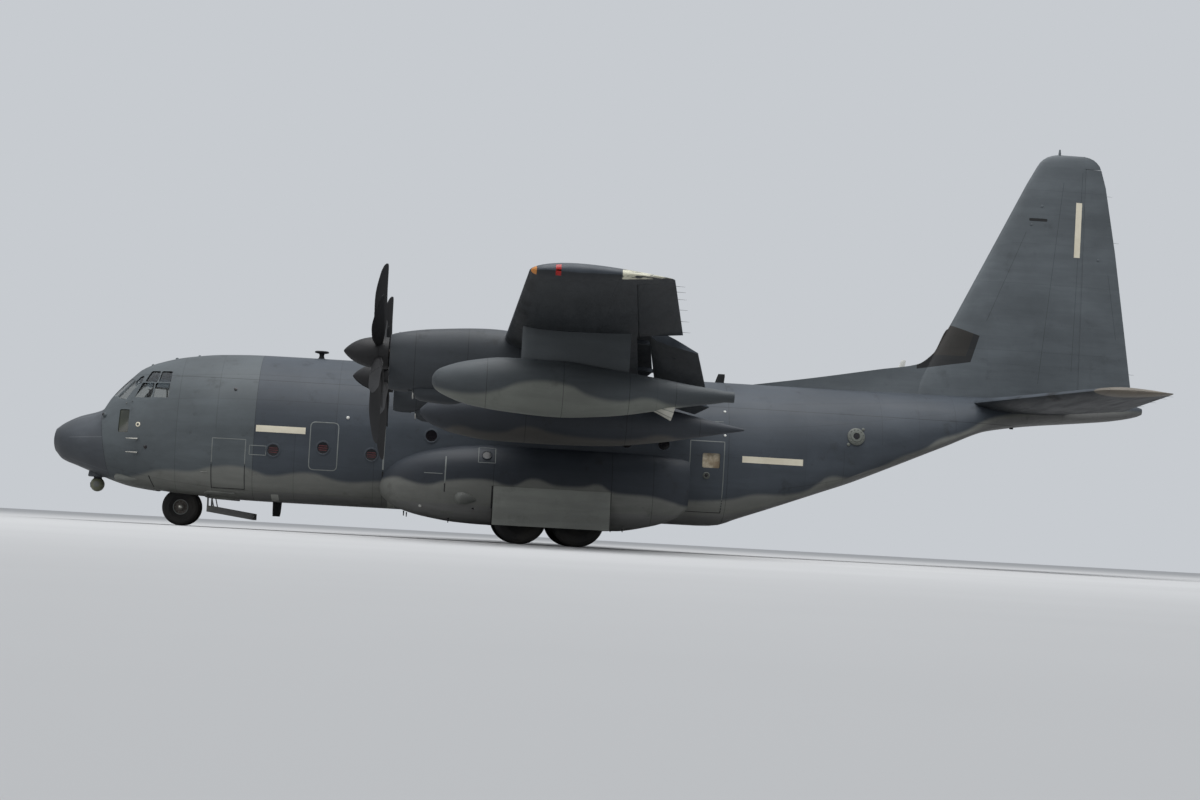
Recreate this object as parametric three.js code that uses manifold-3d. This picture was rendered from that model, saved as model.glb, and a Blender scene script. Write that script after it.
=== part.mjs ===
// A four-engined, high-winged military transport aeroplane, parked on its landing gear.
// Every size below is the full-size aeroplane's, in millimetres. The finished group is scaled
// by modelScale, so the solids are a 1:2 scale model.
// x runs aft from the nose tip, y to the right-hand (starboard) side, z up from the ground.
import * as THREE from 'three';
import { mergeVertices } from 'three/addons/utils/BufferGeometryUtils.js';
import Module from 'manifold-3d';

const wasm = await Module();
wasm.setup();

// Driving dimensions
const modelScale = 0.5;
const length = 29790;
const seam = 0.6; // between pieces that are fixed to each other

const shellRing = 24; // points round the fuselage
const shellWall = 130;
const noseWall = 70;
const floorTop = 1040;
const floorDepth = 80;
const noseJoint = 5500; // nose section to centre fuselage
const tailJoint = 18000; // centre to aft fuselage

const left = -1;
const right = 1;
const sides = [[left, 'left'], [right, 'right']];

// Fuselage sections: widest at mid height, round above it, squarer below it.
const fuselage = [
  // x, top, mid, bottom, half width, lower squareness
  [0, 2250, 2130, 2020, 110, 2],
  [60, 2420, 2120, 1820, 340, 2],
  [270, 2580, 2105, 1605, 660, 2],
  [650, 2780, 2090, 1460, 950, 2],
  [1250, 2985, 2080, 1240, 1230, 2.1],
  [1350, 3070, 2090, 1205, 1270, 2.1],
  [1450, 3280, 2110, 1165, 1310, 2.2],
  [2080, 3990, 2230, 980, 1560, 2.4],
  [2260, 4150, 2270, 950, 1620, 2.5],
  [2660, 4340, 2350, 900, 1740, 2.6],
  [3400, 4540, 2460, 840, 1920, 2.9],
  [4400, 4670, 2555, 795, 2070, 3.2],
  [5500, 4715, 2600, 765, 2140, 3.4],
  [6500, 4720, 2600, 760, 2150, 3.4],
  [17600, 4720, 2600, 760, 2150, 3.4],
  [18000, 4720, 2600, 800, 2150, 3.6],
  [18400, 4720, 2620, 960, 2145, 4],
  [19150, 4720, 2680, 1240, 2120, 4.5],
  [20700, 4720, 2850, 1830, 2010, 5],
  [21460, 4720, 2960, 2120, 1930, 5],
  [22560, 4725, 3170, 2600, 1770, 5],
  [24000, 4740, 3520, 3240, 1480, 5],
  [25250, 4760, 3960, 3770, 1150, 5],
  [26500, 4780, 4230, 4010, 850, 4],
  [28000, 4790, 4400, 4180, 560, 3],
  [28900, 4790, 4480, 4290, 380, 2.5],
  [29600, 4750, 4590, 4440, 200, 2],
  [length, 4700, 4610, 4520, 90, 2],
];

const wing = {
  rootChord: 4880, tipChord: 2650, centreHalf: 5560, tipY: 20205,
  rootX: 11630, tipX: 11880, rootZ: 4450, dihedral: 2.5, incidence: 3, rootThick: 0.18, tipThick: 0.12,
};
const flapRest = 18; // degrees of flap as the aeroplane stands
const flapPivot = [0.74, -0.4]; // share of the chord
const flapEnds = { inner: [2300, 5480], outer: [5700, 13330] };
const aileronEnds = [13480, 19560];
const aileronHinge = 0.755;

const engines = [
  // name, side, y, shaft height
  ['left_outer', left, 10160, 4180],
  ['left_inner', left, 4940, 3980],
  ['right_inner', right, 4940, 3980],
  ['right_outer', right, 10160, 4180],
];
const propX = 8900;
const propRadius = 2055;
const shaftRadius = 90;
const nacelleFront = 9150;
const firewall = 11500;

const mainWheel = { radius: 716, width: 500, bore: 86, y: 2170, xs: [12560, 14080] };
const noseWheel = { radius: 500, width: 330, bore: 66, y: 300, x: 3520 };
const wheelSides = 20;
const flatTo = Math.cos(Math.PI / wheelSides); // a wheel stands on the flat between two corners
const mainAxleZ = mainWheel.radius * flatTo;
const noseAxleZ = noseWheel.radius * flatTo;
const well = { x: [11800, 14900], inner: 1600, outer: 2560, top: 1900, sill: 1480 };

// Paints
const paint = (colour, roughness, metalness = 0) =>
  new THREE.MeshStandardMaterial({ color: colour, roughness, metalness });
const upperGrey = paint(0x4b5258, 0.6);
const underGrey = paint(0x565755, 0.6);
const radomeGrey = paint(0x3e4348, 0.55);
const rubber = paint(0x1c1d20, 0.9);
const gearMetal = paint(0x8d8f8c, 0.45, 0.6);
const engineMetal = paint(0x5c5a55, 0.5, 0.8);
const bladeBlack = paint(0x23262a, 0.5);
const glass = paint(0x26323a, 0.1);
const cabinGrey = paint(0x6d7470, 0.8);
const sensorOlive = paint(0x5b5c4c, 0.5);

// Solids from triangles
function solidFrom(positions, triangles) {
  const mesh = (order) => new wasm.Mesh({
    numProp: 3, vertProperties: new Float32Array(positions), triVerts: new Uint32Array(order),
  });
  const made = new wasm.Manifold(mesh(triangles));
  if (made.volume() > 0) return made;
  const turned = [];
  for (let i = 0; i < triangles.length; i += 3) turned.push(triangles[i], triangles[i + 2], triangles[i + 1]);
  return new wasm.Manifold(mesh(turned));
}

function solidOf(geometry) {
  const loose = geometry.index ? geometry.toNonIndexed() : geometry;
  const bare = new THREE.BufferGeometry().setAttribute('position', loose.getAttribute('position'));
  const whole = mergeVertices(bare, 0.01);
  return solidFrom(whole.attributes.position.array, whole.index.array);
}

function geometryOf(solid) {
  const mesh = solid.getMesh();
  const geometry = new THREE.BufferGeometry();
  geometry.setAttribute('position', new THREE.BufferAttribute(new Float32Array(mesh.vertProperties), 3));
  geometry.setIndex(new THREE.BufferAttribute(new Uint32Array(mesh.triVerts), 1));
  geometry.computeVertexNormals();
  return geometry;
}

function area2d(points) {
  return points.reduce((sum, p, i) => {
    const q = points[(i + 1) % points.length];
    return sum + p.x * q.y - q.x * p.y;
  }, 0) / 2;
}

// A closed solid through rings of points, with flat ends; flatAxis is the one the end rings are square to.
function loft(rings, flatAxis) {
  const count = rings[0].length;
  const triangles = [];
  for (let r = 0; r + 1 < rings.length; r += 1) {
    for (let i = 0; i < count; i += 1) {
      const j = (i + 1) % count;
      const [a, b, c, d] = [r * count + i, r * count + j, (r + 1) * count + j, (r + 1) * count + i];
      triangles.push(a, b, c, a, c, d);
    }
  }
  const plane = [[1, 2], [0, 2], [0, 1]][flatAxis];
  [0, rings.length - 1].forEach((r) => {
    const flat = rings[r].map((p) => new THREE.Vector2(p[plane[0]], p[plane[1]]));
    const turn = Math.sign(area2d(flat));
    THREE.ShapeUtils.triangulateShape(flat, []).forEach(([a, b, c]) => {
      const same = Math.sign(area2d([flat[a], flat[b], flat[c]])) === turn;
      const ordered = same === (r === 0) ? [a, c, b] : [a, b, c];
      triangles.push(...ordered.map((i) => r * count + i));
    });
  });
  return solidFrom(rings.flat(2), triangles);
}

function block([x0, x1], [y0, y1], [z0, z1]) {
  const box = new THREE.BoxGeometry(x1 - x0, y1 - y0, z1 - z0);
  return solidOf(box.translate((x0 + x1) / 2, (y0 + y1) / 2, (z0 + z1) / 2));
}

// A block on one side of the aeroplane, its y range measured outwards from the centre line
const sideBlock = (side, xs, [y0, y1], zs) => block(xs, side > 0 ? [y0, y1] : [-y1, -y0], zs);

// An outline in x and z, as thick as its range of y
function plate(outline, [y0, y1]) {
  return loft([y0, y1].map((y) => outline.map(([x, z]) => [x, y, z])), 1);
}

// An outline in y and z, as deep as its range of x
function bulkhead(outline, [x0, x1]) {
  return loft([x0, x1].map((x) => outline.map(([y, z]) => [x, y, z])), 0);
}

const axisTurns = { x: [0, 0, -Math.PI / 2], y: [0, 0, 0], z: [Math.PI / 2, 0, 0] };

// A profile of [radius, distance along the axis] turned about an axis through centre
function turned(profile, axis, centre, segments) {
  const lathe = new THREE.LatheGeometry(profile.map(([r, d]) => new THREE.Vector2(r, d)), segments);
  if (axis === 'y') lathe.rotateY(Math.PI / segments); // a wheel rests on a flat
  const [rx, ry, rz] = axisTurns[axis];
  lathe.rotateX(rx).rotateY(ry).rotateZ(rz).translate(...centre);
  return solidOf(lathe);
}

// A round bar between two points
function bar(from, to, radius, segments = 10, endRadius = radius) {
  const start = new THREE.Vector3(...from);
  const along = new THREE.Vector3(...to).sub(start);
  const rod = new THREE.CylinderGeometry(endRadius, radius, along.length(), segments);
  const turn = new THREE.Quaternion().setFromUnitVectors(new THREE.Vector3(0, 1, 0), along.clone().normalize());
  rod.applyQuaternion(turn).translate(...start.addScaledVector(along, 0.5).toArray());
  return solidOf(rod);
}

const joined = (solids) => solids.reduce((whole, next) => whole.add(next));

function turnedAbout(solid, point, axis, degrees) {
  const move = new THREE.Matrix4().makeTranslation(...point)
    .multiply(new THREE.Matrix4().makeRotationAxis(axis, THREE.MathUtils.degToRad(degrees)))
    .multiply(new THREE.Matrix4().makeTranslation(...point.map((v) => -v)));
  return solidOf(geometryOf(solid).applyMatrix4(move));
}

// Fuselage
const signedPower = (value, power) => Math.sign(value) * Math.abs(value) ** power;

function fuselageRow(x) {
  const next = fuselage.findIndex((row) => row[0] >= x);
  if (fuselage[next][0] === x) return fuselage[next];
  const [a, b] = [fuselage[next - 1], fuselage[next]];
  const share = (x - a[0]) / (b[0] - a[0]);
  return a.map((value, i) => value + share * (b[i] - value));
}

function fuselageRing([x, top, mid, bottom, half, square], inset) {
  return Array.from({ length: shellRing }, (_, i) => {
    const angle = (2 * Math.PI * i) / shellRing;
    const [c, s] = [Math.cos(angle), Math.sin(angle)];
    const power = s < -1e-9 ? 2 / square : 1;
    const height = s < 0 ? mid - bottom - inset : top - mid - inset;
    return [x, (half - inset) * signedPower(c, power), mid + height * signedPower(s, power)];
  });
}

// The fuselage's solid between two stations, inset from its skin. It is cut from whole rows of the
// table, so that pieces that share a part of the skin have the same facets there.
function hull(x0, x1, inset) {
  const first = Math.max(0, fuselage.findLastIndex(([x]) => x <= x0));
  const last = fuselage.findIndex(([x]) => x >= x1);
  const whole = loft(fuselage.slice(first, last + 1).map((row) => fuselageRing(row, inset)), 0);
  return whole.intersect(block([x0, x1], [-3000, 3000], [0, 6000]));
}

// How far the skin lies from the centre line at a station and height, below its widest point
function skinAt(x, z) {
  const ring = fuselageRing(fuselageRow(x), 0).filter(([, y]) => y >= 0);
  const low = ring.filter((p) => p[2] <= z).sort((a, b) => b[2] - a[2])[0];
  const high = ring.filter((p) => p[2] > z).sort((a, b) => a[2] - b[2])[0];
  return low[1] + ((z - low[2]) / (high[2] - low[2])) * (high[1] - low[1]);
}

// The radome joint leans forward at the top, to the foot of the windscreen
const radomeJoint = (z) => 1660 - (z - 1060) * 0.17;
const aheadOfJoint = (gap) => plate(
  [[-50, 800], [radomeJoint(800) + gap, 800], [radomeJoint(3150) + gap, 3150], [-50, 3150]], [-2000, 2000]);

const turret = { x: 1220, z: 980, radius: 190, plate: 1182 };

function makeRadome() {
  const rest = turned([[0, 0], [260, 0], [230, 220], [0, 220]], 'z', [turret.x, 0, turret.plate], 16);
  return hull(0, 1850, 0).intersect(aheadOfJoint(0)).add(rest.intersect(aheadOfJoint(0)));
}

function makeTurret() {
  const ball = solidOf(new THREE.SphereGeometry(turret.radius, 12, 7).rotateX(Math.PI / 2)
    .translate(turret.x, 0, turret.z));
  return ball.add(bar([turret.x, 0, turret.z + 120], [turret.x, 0, turret.plate - seam], 110));
}

// Cockpit windows seen from the side, as outlines in x and z, cut on both sides
const sideWindows = [
  [[2770, 3350], [3150, 3350], [3150, 3715], [2790, 3715]],
  [[2270, 3325], [2700, 3340], [2720, 3705], [2420, 3705]],
  [[2860, 3800], [3160, 3800], [3160, 4060], [2900, 4060]],
  [[2460, 3790], [2790, 3795], [2830, 4055], [2600, 4055]],
  [[1890, 2380], [2150, 2380], [2150, 2970], [1890, 2970]],
];
// Windscreen panes seen from ahead, as outlines in y and z
const frontWindows = [
  [[-300, 3400], [300, 3400], [270, 3860], [-270, 3860]],
  [[370, 3390], [830, 3330], [760, 3800], [340, 3860]],
  [[900, 3310], [1210, 3240], [1110, 3640], [830, 3790]],
];
const crewDoor = { x: [4430, 5290], z: [1050, 2330] };

// A row of hinge knuckles along an axis: every second one belongs to the moving piece.
function knuckleBars({ from, to, ends, radius, lugs = [] }, moving, grow) {
  const point = (share, shift) => from.map((v, i) => v + share * (to[i] - v) + shift[i]);
  const slack = grow ? 0 : seam / Math.hypot(...to.map((v, i) => v - from[i]));
  const shifts = [[0, 0, 0], ...(grow ? [] : lugs.slice(moving ? 1 : 0, moving ? 2 : 1))];
  return ends.slice(1).flatMap((end, i) => ((i % 2 === 1) === moving
    ? shifts.map((shift) => bar(point(ends[i] + slack, shift), point(end - slack, shift), radius + grow, 8)) : []));
}
const knuckled = (piece, hinge, moving) => joined([
  knuckleBars(hinge, !moving, 14).reduce((rest, other) => rest.subtract(other), piece),
  ...knuckleBars(hinge, moving, 0),
]);
const crewHingeY = 12 - skinAt(4700, 1045);
const crewHinge = {
  from: [4470, crewHingeY, 1045], to: [5250, crewHingeY, 1045], ends: [0, 0.1, 0.22, 0.78, 0.9, 1], radius: 16,
  lugs: [[0, 22, -12], [0, 14, 18]], // the fixed knuckles' and the door's
};

function noseOpenings() {
  const cuts = [];
  sides.forEach(([side]) => {
    sideWindows.forEach((w) => cuts.push(plate(w, side > 0 ? [700, 2400] : [-2400, -700])));
    frontWindows.slice(side > 0 ? 0 : 1).forEach((w) => {
      cuts.push(bulkhead(w.map(([y, z]) => [y * side, z]), [1300, 2380]));
    });
  });
  return cuts;
}

const gearBay = { x: [2850, 4330], half: 620, top: 1960 };

function makeNose(doorGap) {
  const bayWalls = block([gearBay.x[0] - 60, gearBay.x[1] + 60], [-gearBay.half - 60, gearBay.half + 60],
    [900, gearBay.top + 60]);
  const skin = hull(1250, noseJoint - seam, 0);
  const room = hull(1370, noseJoint + 20, noseWall).subtract(aheadOfJoint(80));
  const cuts = [
    aheadOfJoint(seam),
    ...noseOpenings(),
    block(gearBay.x, [-gearBay.half, gearBay.half], [600, gearBay.top]),
    sideBlock(left, [crewDoor.x[0] - doorGap, crewDoor.x[1] + doorGap], [1300, 2500],
      [crewDoor.z[0] - doorGap, crewDoor.z[1] + doorGap]),
    bar([crewDoor.x[0] - doorGap, crewHingeY, 1045], [crewDoor.x[1] + doorGap, crewHingeY, 1045], 95)
      .intersect(block([4000, 6000], [-3000, crewHingeY + 14], [900, 1200])),
  ];
  const shell = skin.subtract(room).add(bayWalls.intersect(skin));
  return knuckled(cuts.reduce((whole, cut) => whole.subtract(cut), shell), crewHinge, false);
}

function makeGlazing() {
  const reach = block([1300, 3260], [-2000, 2000], [3190, 4160]);
  const outer = hull(1360, 3400, noseWall + seam);
  return outer.subtract(hull(1330, 3500, noseWall + 35)).intersect(reach);
}

function makeCrewDoor() {
  const panel = sideBlock(left, crewDoor.x, [1300, 2500], crewDoor.z);
  return knuckled(hull(4000, 5450, 0).subtract(hull(3900, 5480, noseWall)).intersect(panel), crewHinge, true);
}

const paraDoor = { x: [16980, 17880], z: [1120, 2990] };
const jackPads = [[6050, 700], [16500, 700]];

function makeCentre() {
  const tube = hull(noseJoint, tailJoint - seam, 0).subtract(hull(noseJoint - 20, tailJoint + 20, shellWall));
  const wells = sides.map(([side]) => sideBlock(side, [well.x[0] - 100, well.x[1] + 100], [well.inner - 100, 2040],
    [860, well.top + 100]));
  const pads = jackPads.flatMap(([x, y]) => sides.map(([side]) =>
    bar([x, side * y, 725], [x, side * y, 860], 75)));
  const cuts = sides.flatMap(([side]) => [
    sideBlock(side, well.x, [well.inner, 2700], [500, well.top]),
    sideBlock(side, paraDoor.x, [1500, 2600], paraDoor.z),
  ]);
  const shell = joined([tube, ...wells.map((w) => w.intersect(hull(noseJoint, tailJoint - seam, 0))), ...pads]);
  return knuckled([...cuts, centreWingBody(2400)].reduce((whole, cut) => whole.subtract(cut), shell), rampHinge, false);
}

function makeParaDoor(side) {
  const shell = hull(16500, 17990, 0).subtract(hull(16400, 17995, shellWall));
  return shell.intersect(sideBlock(side, paraDoor.x.map((x, i) => x + (i ? -8 : 8)), [1500, 2600],
    paraDoor.z.map((z, i) => z + (i ? -8 : seam))));
}

// Rear ramp and upper door, in the flat underside of the upswept tail
const ramp = { x: [18012, 21440], half: 1480, thick: 260 };
const rampHinge = { from: [18006, -700, 813], to: [18006, 700, 813], ends: [0, 0.06, 0.2, 0.8, 0.94, 1], radius: 13 };
const upperDoor = { x: [21470, 25300], front: 1380, back: 820 };
const upperDoorHinge = { from: [25306, -700, 3894], to: [25306, 700, 3894], ends: [0, 0.06, 0.2, 0.8, 0.94, 1], radius: 13 };
const doorPlan = (grow) => {
  const { x, front, back } = upperDoor;
  return [[x[0] - grow, front + grow], [x[1] + grow, back + grow], [x[1] + grow, -back - grow],
    [x[0] - grow, -front - grow]];
};
const overPlan = (plan, [z0, z1]) => loft([z0, z1].map((z) => plan.map(([x, y]) => [x, y, z])), 2);
// The line of the inner faces of ramp and door, as height at a station
const sweptBottom = (x) => fuselageRow(x)[3];
const overRamp = (lift) => [ramp.x[0] - 12, 19150, 20700, ramp.x[1] + 12].map((x) => [x, sweptBottom(x) + lift]);
const overDoor = (lift) => [upperDoor.x[0] - 12, 22560, 24000, upperDoor.x[1] + 12]
  .map((x) => [x, sweptBottom(x) + lift]);
const withEnds = (line, [x0, x1]) => line.map(([x, z], i) => [i === 0 ? x0 : i === line.length - 1 ? x1 : x, z]);
const belowLine = (line, [y0, y1]) => plate([...line, [line.at(-1)[0], 300], [line[0][0], 300]], [y0, y1]);

function makeAft() {
  const skin = hull(tailJoint, length, 0);
  const room = hull(tailJoint - 20, 25900, shellWall);
  const rampLine = overRamp(700);
  rampLine[0][0] = tailJoint - 50;
  const rampHole = belowLine(rampLine, [-ramp.half - 12, ramp.half + 12]);
  const doorHole = overPlan(doorPlan(12), [1500, 4300]).intersect(belowLine(overDoor(330), [-2000, 2000]));
  return knuckled(skin.subtract(room).subtract(rampHole).subtract(doorHole), upperDoorHinge, false);
}

function makeRamp() {
  const inside = withEnds(overRamp(ramp.thick), ramp.x);
  return knuckled(hull(tailJoint, 22560, 0).intersect(belowLine(inside, [-ramp.half, ramp.half])), rampHinge, true);
}

function makeUpperDoor() {
  const inside = withEnds(overDoor(120), upperDoor.x);
  const panel = hull(20700, 26500, 0).intersect(belowLine(inside, [-2000, 2000]));
  return knuckled(panel.intersect(overPlan(doorPlan(0), [1500, 4300])), upperDoorHinge, true);
}

function makeCargoFloor() {
  return hull(4350, tailJoint - 10, shellWall + seam)
    .intersect(block([4400, tailJoint - 20], [-1560, 1560], [floorTop - floorDepth, floorTop]))
    .subtract(sides.map(([side]) => sideBlock(side, [well.x[0] - 101, well.x[1] + 101], [1499, 2100], [800, 1100]))
      .reduce((a, b) => a.add(b)));
}

function makeFlightDeck() {
  const inside = hull(1400, noseJoint - 40, noseWall + seam);
  const deck = block([2000, 5410], [-2000, 2000], [2250, 2330]);
  const wall = block([5330, 5410], [-2000, 2000], [floorTop + 1, 4600])
    .subtract(block([5200, 5500], [-1100, -350], [floorTop, 2200]))
    .subtract(block([5200, 5500], [-350, 350], [2330, 4050]));
  const coaming = block([2000, 2250], [-1150, 1150], [2330, 3175]);
  const seats = sides.flatMap(([side]) => [
    sideBlock(side, [2850, 3350], [330, 830], [2330, 2750]),
    sideBlock(side, [3300, 3420], [330, 830], [2700, 3450]),
  ]);
  const stairs = block([3900, 4200], [200, 900], [floorTop + 1, 2300]);
  const doorSpace = sideBlock(left, [4400, 5320], [1970, 2500], [1000, 2500]);
  return joined([deck, wall, coaming, ...seats]).intersect(inside).subtract(stairs).subtract(doorSpace);
}

// Wheel fairings on the fuselage sides
const sponson = [
  // x, top, bottom, outermost y
  [8760, 1480, 1340, 1800],
  [8950, 1850, 1020, 2130],
  [9400, 2180, 760, 2380],
  [10150, 2430, 590, 2560],
  [10900, 2550, 500, 2650],
  [11700, 2610, 470, 2690],
  [15000, 2610, 470, 2690],
  [16000, 2600, 640, 2600],
  [16700, 2590, 900, 2420],
  [17150, 2560, 1300, 2200],
];
const sponsonCentre = 1650;

function sponsonHull(side, grow) {
  const count = 16;
  const power = 2 / 2.7;
  return loft(sponson.map(([x, top, bottom, outer]) => {
    const [mid, height, width] = [(top + bottom) / 2, (top - bottom) / 2 + grow, outer - sponsonCentre + grow];
    return Array.from({ length: count }, (_, i) => {
      const angle = (2 * Math.PI * i) / count;
      return [x, side * (sponsonCentre + width * signedPower(Math.cos(angle), power)),
        mid + height * signedPower(Math.sin(angle), power)];
    });
  }), 0);
}

function makeSponson(side) {
  return sponsonHull(side, 0)
    .subtract(hull(8000, tailJoint - 5, seam * -1))
    .subtract(sideBlock(side, well.x, [1200, well.outer], [300, well.top]))
    .subtract(sideBlock(side, well.x, [1200, 3000], [300, well.sill]))
    .subtract(sideBlock(side, paraDoor.x, [1500, 2700], paraDoor.z));
}

const gearDoor = { x: [11815, 14885], top: 1474, bottom: 470, y: 2700, thick: 45 };

function makeGearDoor(side) {
  const { x, top, bottom, y, thick } = gearDoor;
  const outline = [
    [y - 60, top], [y - 60 + thick, top + 4], [y + 20, 1250], [y + 60, 1000], [y + 50, bottom], [y, bottom],
    [y + 10, 1000], [y - 30, 1230],
  ];
  const panel = bulkhead(outline.map(([a, z]) => [a * side, z]), x);
  const arms = [x[0] + 500, x[1] - 500].flatMap((at) => [
    sideBlock(side, [at - 40, at + 40], [2490, well.outer - seam], [1500, 1600]),
    bar([at, side * 2520, 1560], [at, side * 2520, 1380], 30, 8),
    bar([at, side * 2510, 1395], [at, side * (y - 20), 1240], 30, 8),
  ]);
  return joined([panel, ...arms]);
}

// Wing sections in shares of the chord, [along, up]
function foilHeight(u) {
  const t = 5 * wing.rootThick * (0.2969 * Math.sqrt(u) - 0.126 * u - 0.3516 * u ** 2 + 0.2843 * u ** 3 - 0.1036 * u ** 4);
  const camber = u < 0.4 ? (0.02 / 0.16) * (0.8 * u - u * u) : (0.02 / 0.36) * (0.2 + 0.8 * u - u * u);
  return { top: camber + t, bottom: camber - t };
}
const foilSteps = [0, 0.012, 0.05, 0.13, 0.25, 0.42, 0.62, 0.8, 1];
const blunt = 0.0018; // half of the trailing edge's thickness

function foil(grow = 0) {
  const along = (u) => (u === 1 ? 1 + grow : u || -grow);
  const edge = (u) => (u === 1 ? blunt : 0) + (u ? grow : 0);
  const upper = foilSteps.map((u) => [along(u), foilHeight(u).top + edge(u)]);
  const lower = foilSteps.slice(1).reverse().map((u) => [along(u), foilHeight(u).bottom - edge(u)]);
  return [...upper, ...lower];
}

// Both end sections of a wing panel; the tip's is the root's made thinner.
const rise = (wing.tipY - wing.centreHalf) * Math.tan(THREE.MathUtils.degToRad(wing.dihedral));
const wingEnds = [
  { x: wing.rootX, z: wing.rootZ, chord: wing.rootChord, angle: wing.incidence, thin: 1 },
  { x: wing.tipX, z: wing.rootZ + rise, chord: wing.tipChord, angle: 0, thin: wing.tipThick / wing.rootThick },
];

// A point of the wing at a distance y from the centre line, from its place [along, up] in the section
function onWing(y, [u, v], side = 1) {
  const share = Math.max(0, (y - wing.centreHalf) / (wing.tipY - wing.centreHalf));
  const [root, tip] = wingEnds.map(({ x, z, chord, angle, thin }) => {
    const turn = THREE.MathUtils.degToRad(angle);
    return [x + chord * (u * Math.cos(turn) + v * thin * Math.sin(turn)),
      z + chord * (v * thin * Math.cos(turn) - u * Math.sin(turn))];
  });
  return [root[0] + share * (tip[0] - root[0]), side * y, root[1] + share * (tip[1] - root[1])];
}

// A solid whose section follows the wing between stations
const alongWing = (side, ys, section) => loft(ys.map((y) => section.map((p) => onWing(y, p, side))), 1);
// The space for a flap and the flap as it lies in it, retracted
const flapCove = [[0.67, -0.024], [0.733, -0.024], [0.733, -0.3], [1.2, -0.3], [1.2, 0.3], [0.806, 0.3],
  [0.8, 0.043], [0.67, 0.06]];
const flapSection = [[0.685, 0.012], [0.7, 0.028], [0.74, 0.036], [0.85, 0.03], [1, 0.002], [1, -0.002],
  [0.9, -0.0155], [0.77, -0.0275], [0.72, -0.008]];
const flapTracks = { inner: [3000, 4900], outer: [7300, 11700] };

// The line that a flap turns about, with directions across it
function flapFrame(side, which) {
  const [a, b] = flapEnds[which].map((y) => new THREE.Vector3(...onWing(y, flapPivot, side)));
  const axis = b.clone().sub(a).normalize();
  const aft = new THREE.Vector3(1, 0, 0).addScaledVector(axis, -axis.x).normalize();
  const up = aft.clone().cross(axis).multiplyScalar(side);
  return { start: a, axis, aft, up };
}

// A curved track for a flap, or with slack the slot that it takes in the flap
function track(side, which, y, [first, last], slack) {
  const { start, axis, aft, up } = flapFrame(side, which);
  const near = new THREE.Vector3(...onWing(y, [0.72, 0.01], side)).sub(start);
  const centre = start.clone().addScaledVector(axis, near.dot(axis));
  const radius = near.addScaledVector(axis, -near.dot(axis)).length();
  const angles = [0, 1 / 3, 2 / 3, 1].map((share) => THREE.MathUtils.degToRad(first + (last - first) * share));
  const outline = [
    ...angles.map((a) => [a, radius - 45 - slack * 20]),
    ...angles.reverse().map((a) => [a, radius + 40 + slack * 20]),
  ];
  const half = 22 + slack * seam;
  return loft([-half, half].map((along) => outline.map(([a, r]) => centre.clone().addScaledVector(axis, along)
    .addScaledVector(aft, r * Math.sin(a)).addScaledVector(up, r * Math.cos(a)).toArray())), 1);
}
const tracks = (side, which, range, slack) => flapTracks[which].map((y) => track(side, which, y, range, slack));
const trackReach = [-13, 20];
const slotReach = [-14, 22];

const hingeSlab = (side, y) => sideBlock(side, [11000, 30000], [y - 30, y + 30], [3000, 7000]);

function makeCentreWing() {
  const { centreHalf } = wing;
  const whole = loft([-centreHalf, centreHalf].map((y) => foil().map((p) => onWing(0, p)).map(([x, , z]) => [x, y, z])), 1);
  const coves = sides.map(([side]) => alongWing(side, [flapEnds.inner[0] - 40, centreHalf + 40], flapCove));
  const arms = sides.flatMap(([side]) => tracks(side, 'inner', trackReach, 0));
  return joined([coves.reduce((rest, cove) => rest.subtract(cove), whole), ...arms]);
}

// The solids that other pieces are cut to where they meet the wing
const centreWingBody = (half) => loft([-half, half].map((y) => foil(0.0003).map((p) => onWing(0, p))
  .map(([x, , z]) => [x, y, z])), 1);
const outerWingBody = (side) => alongWing(side, [wing.centreHalf + seam, 19900], foil(0.0003));

const tipRings = [[19900, 1, 1], [20080, 0.93, 0.75], [20170, 0.8, 0.45], [20205, 0.66, 0.2]];

function makeOuterWing(side) {
  const ring = (y, shrink, flat) => foil().map(([u, v]) => onWing(y, [0.5 + (u - 0.5) * shrink, v * flat], side));
  const whole = loft([ring(wing.centreHalf + seam, 1, 1), ...tipRings.map(([y, s, f]) => ring(y, s, f))], 1);
  const cove = alongWing(side, [wing.centreHalf - 40, aileronEnds[0] - 40], flapCove);
  const ends = [aileronEnds[0] - 40, aileronEnds[1] + 12];
  const ribs = aileronHinges.map((y) => hingeSlab(side, y).intersect(whole).subtract(aileronCove(side, ends, ribSection)));
  return joined([whole.subtract(cove).subtract(aileronCove(side, ends, clearance)), ...ribs,
    ...tracks(side, 'outer', trackReach, 0)]);
}

// Keeps what lies beyond (+1) or short of (-1) a plane square to an axis
function trimmed(solid, point, axis, keep) {
  const size = 12000;
  const box = new THREE.BoxGeometry(size, size, size).translate(0, (keep * size) / 2, 0);
  box.applyQuaternion(new THREE.Quaternion().setFromUnitVectors(new THREE.Vector3(0, 1, 0), axis));
  return solid.intersect(solidOf(box.translate(...point)));
}

function makeFlap(side, which) {
  const ends = flapEnds[which];
  const { start, axis } = flapFrame(side, which);
  const long = alongWing(side, which === 'outer' ? [ends[0] - 60, ends[1] + 120] : ends, flapSection);
  const nose = ends.map((y) => onWing(y, [0.7, 0], side));
  const cut = which === 'outer' ? trimmed(trimmed(long, nose[0], axis, 1), nose[1], axis, -1) : long;
  const slotted = tracks(side, which, slotReach, 1).reduce((rest, slot) => rest.subtract(slot), cut);
  return turnedAbout(slotted, start.toArray(), axis, flapRest * side);
}

const halfRound = (radius) => [2, 3, 4, 5, 6].map((eighth) => (eighth * Math.PI) / 4)
  .map((angle) => [radius * Math.cos(angle), radius * Math.sin(angle)]);

// A hinged control surface in its own section, [aft, up] from the hinge: a round nose, then straight to the edge
function surfaceSection(radius, chord) {
  return [...halfRound(radius), [chord, -6], [chord, 6]];
}

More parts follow.
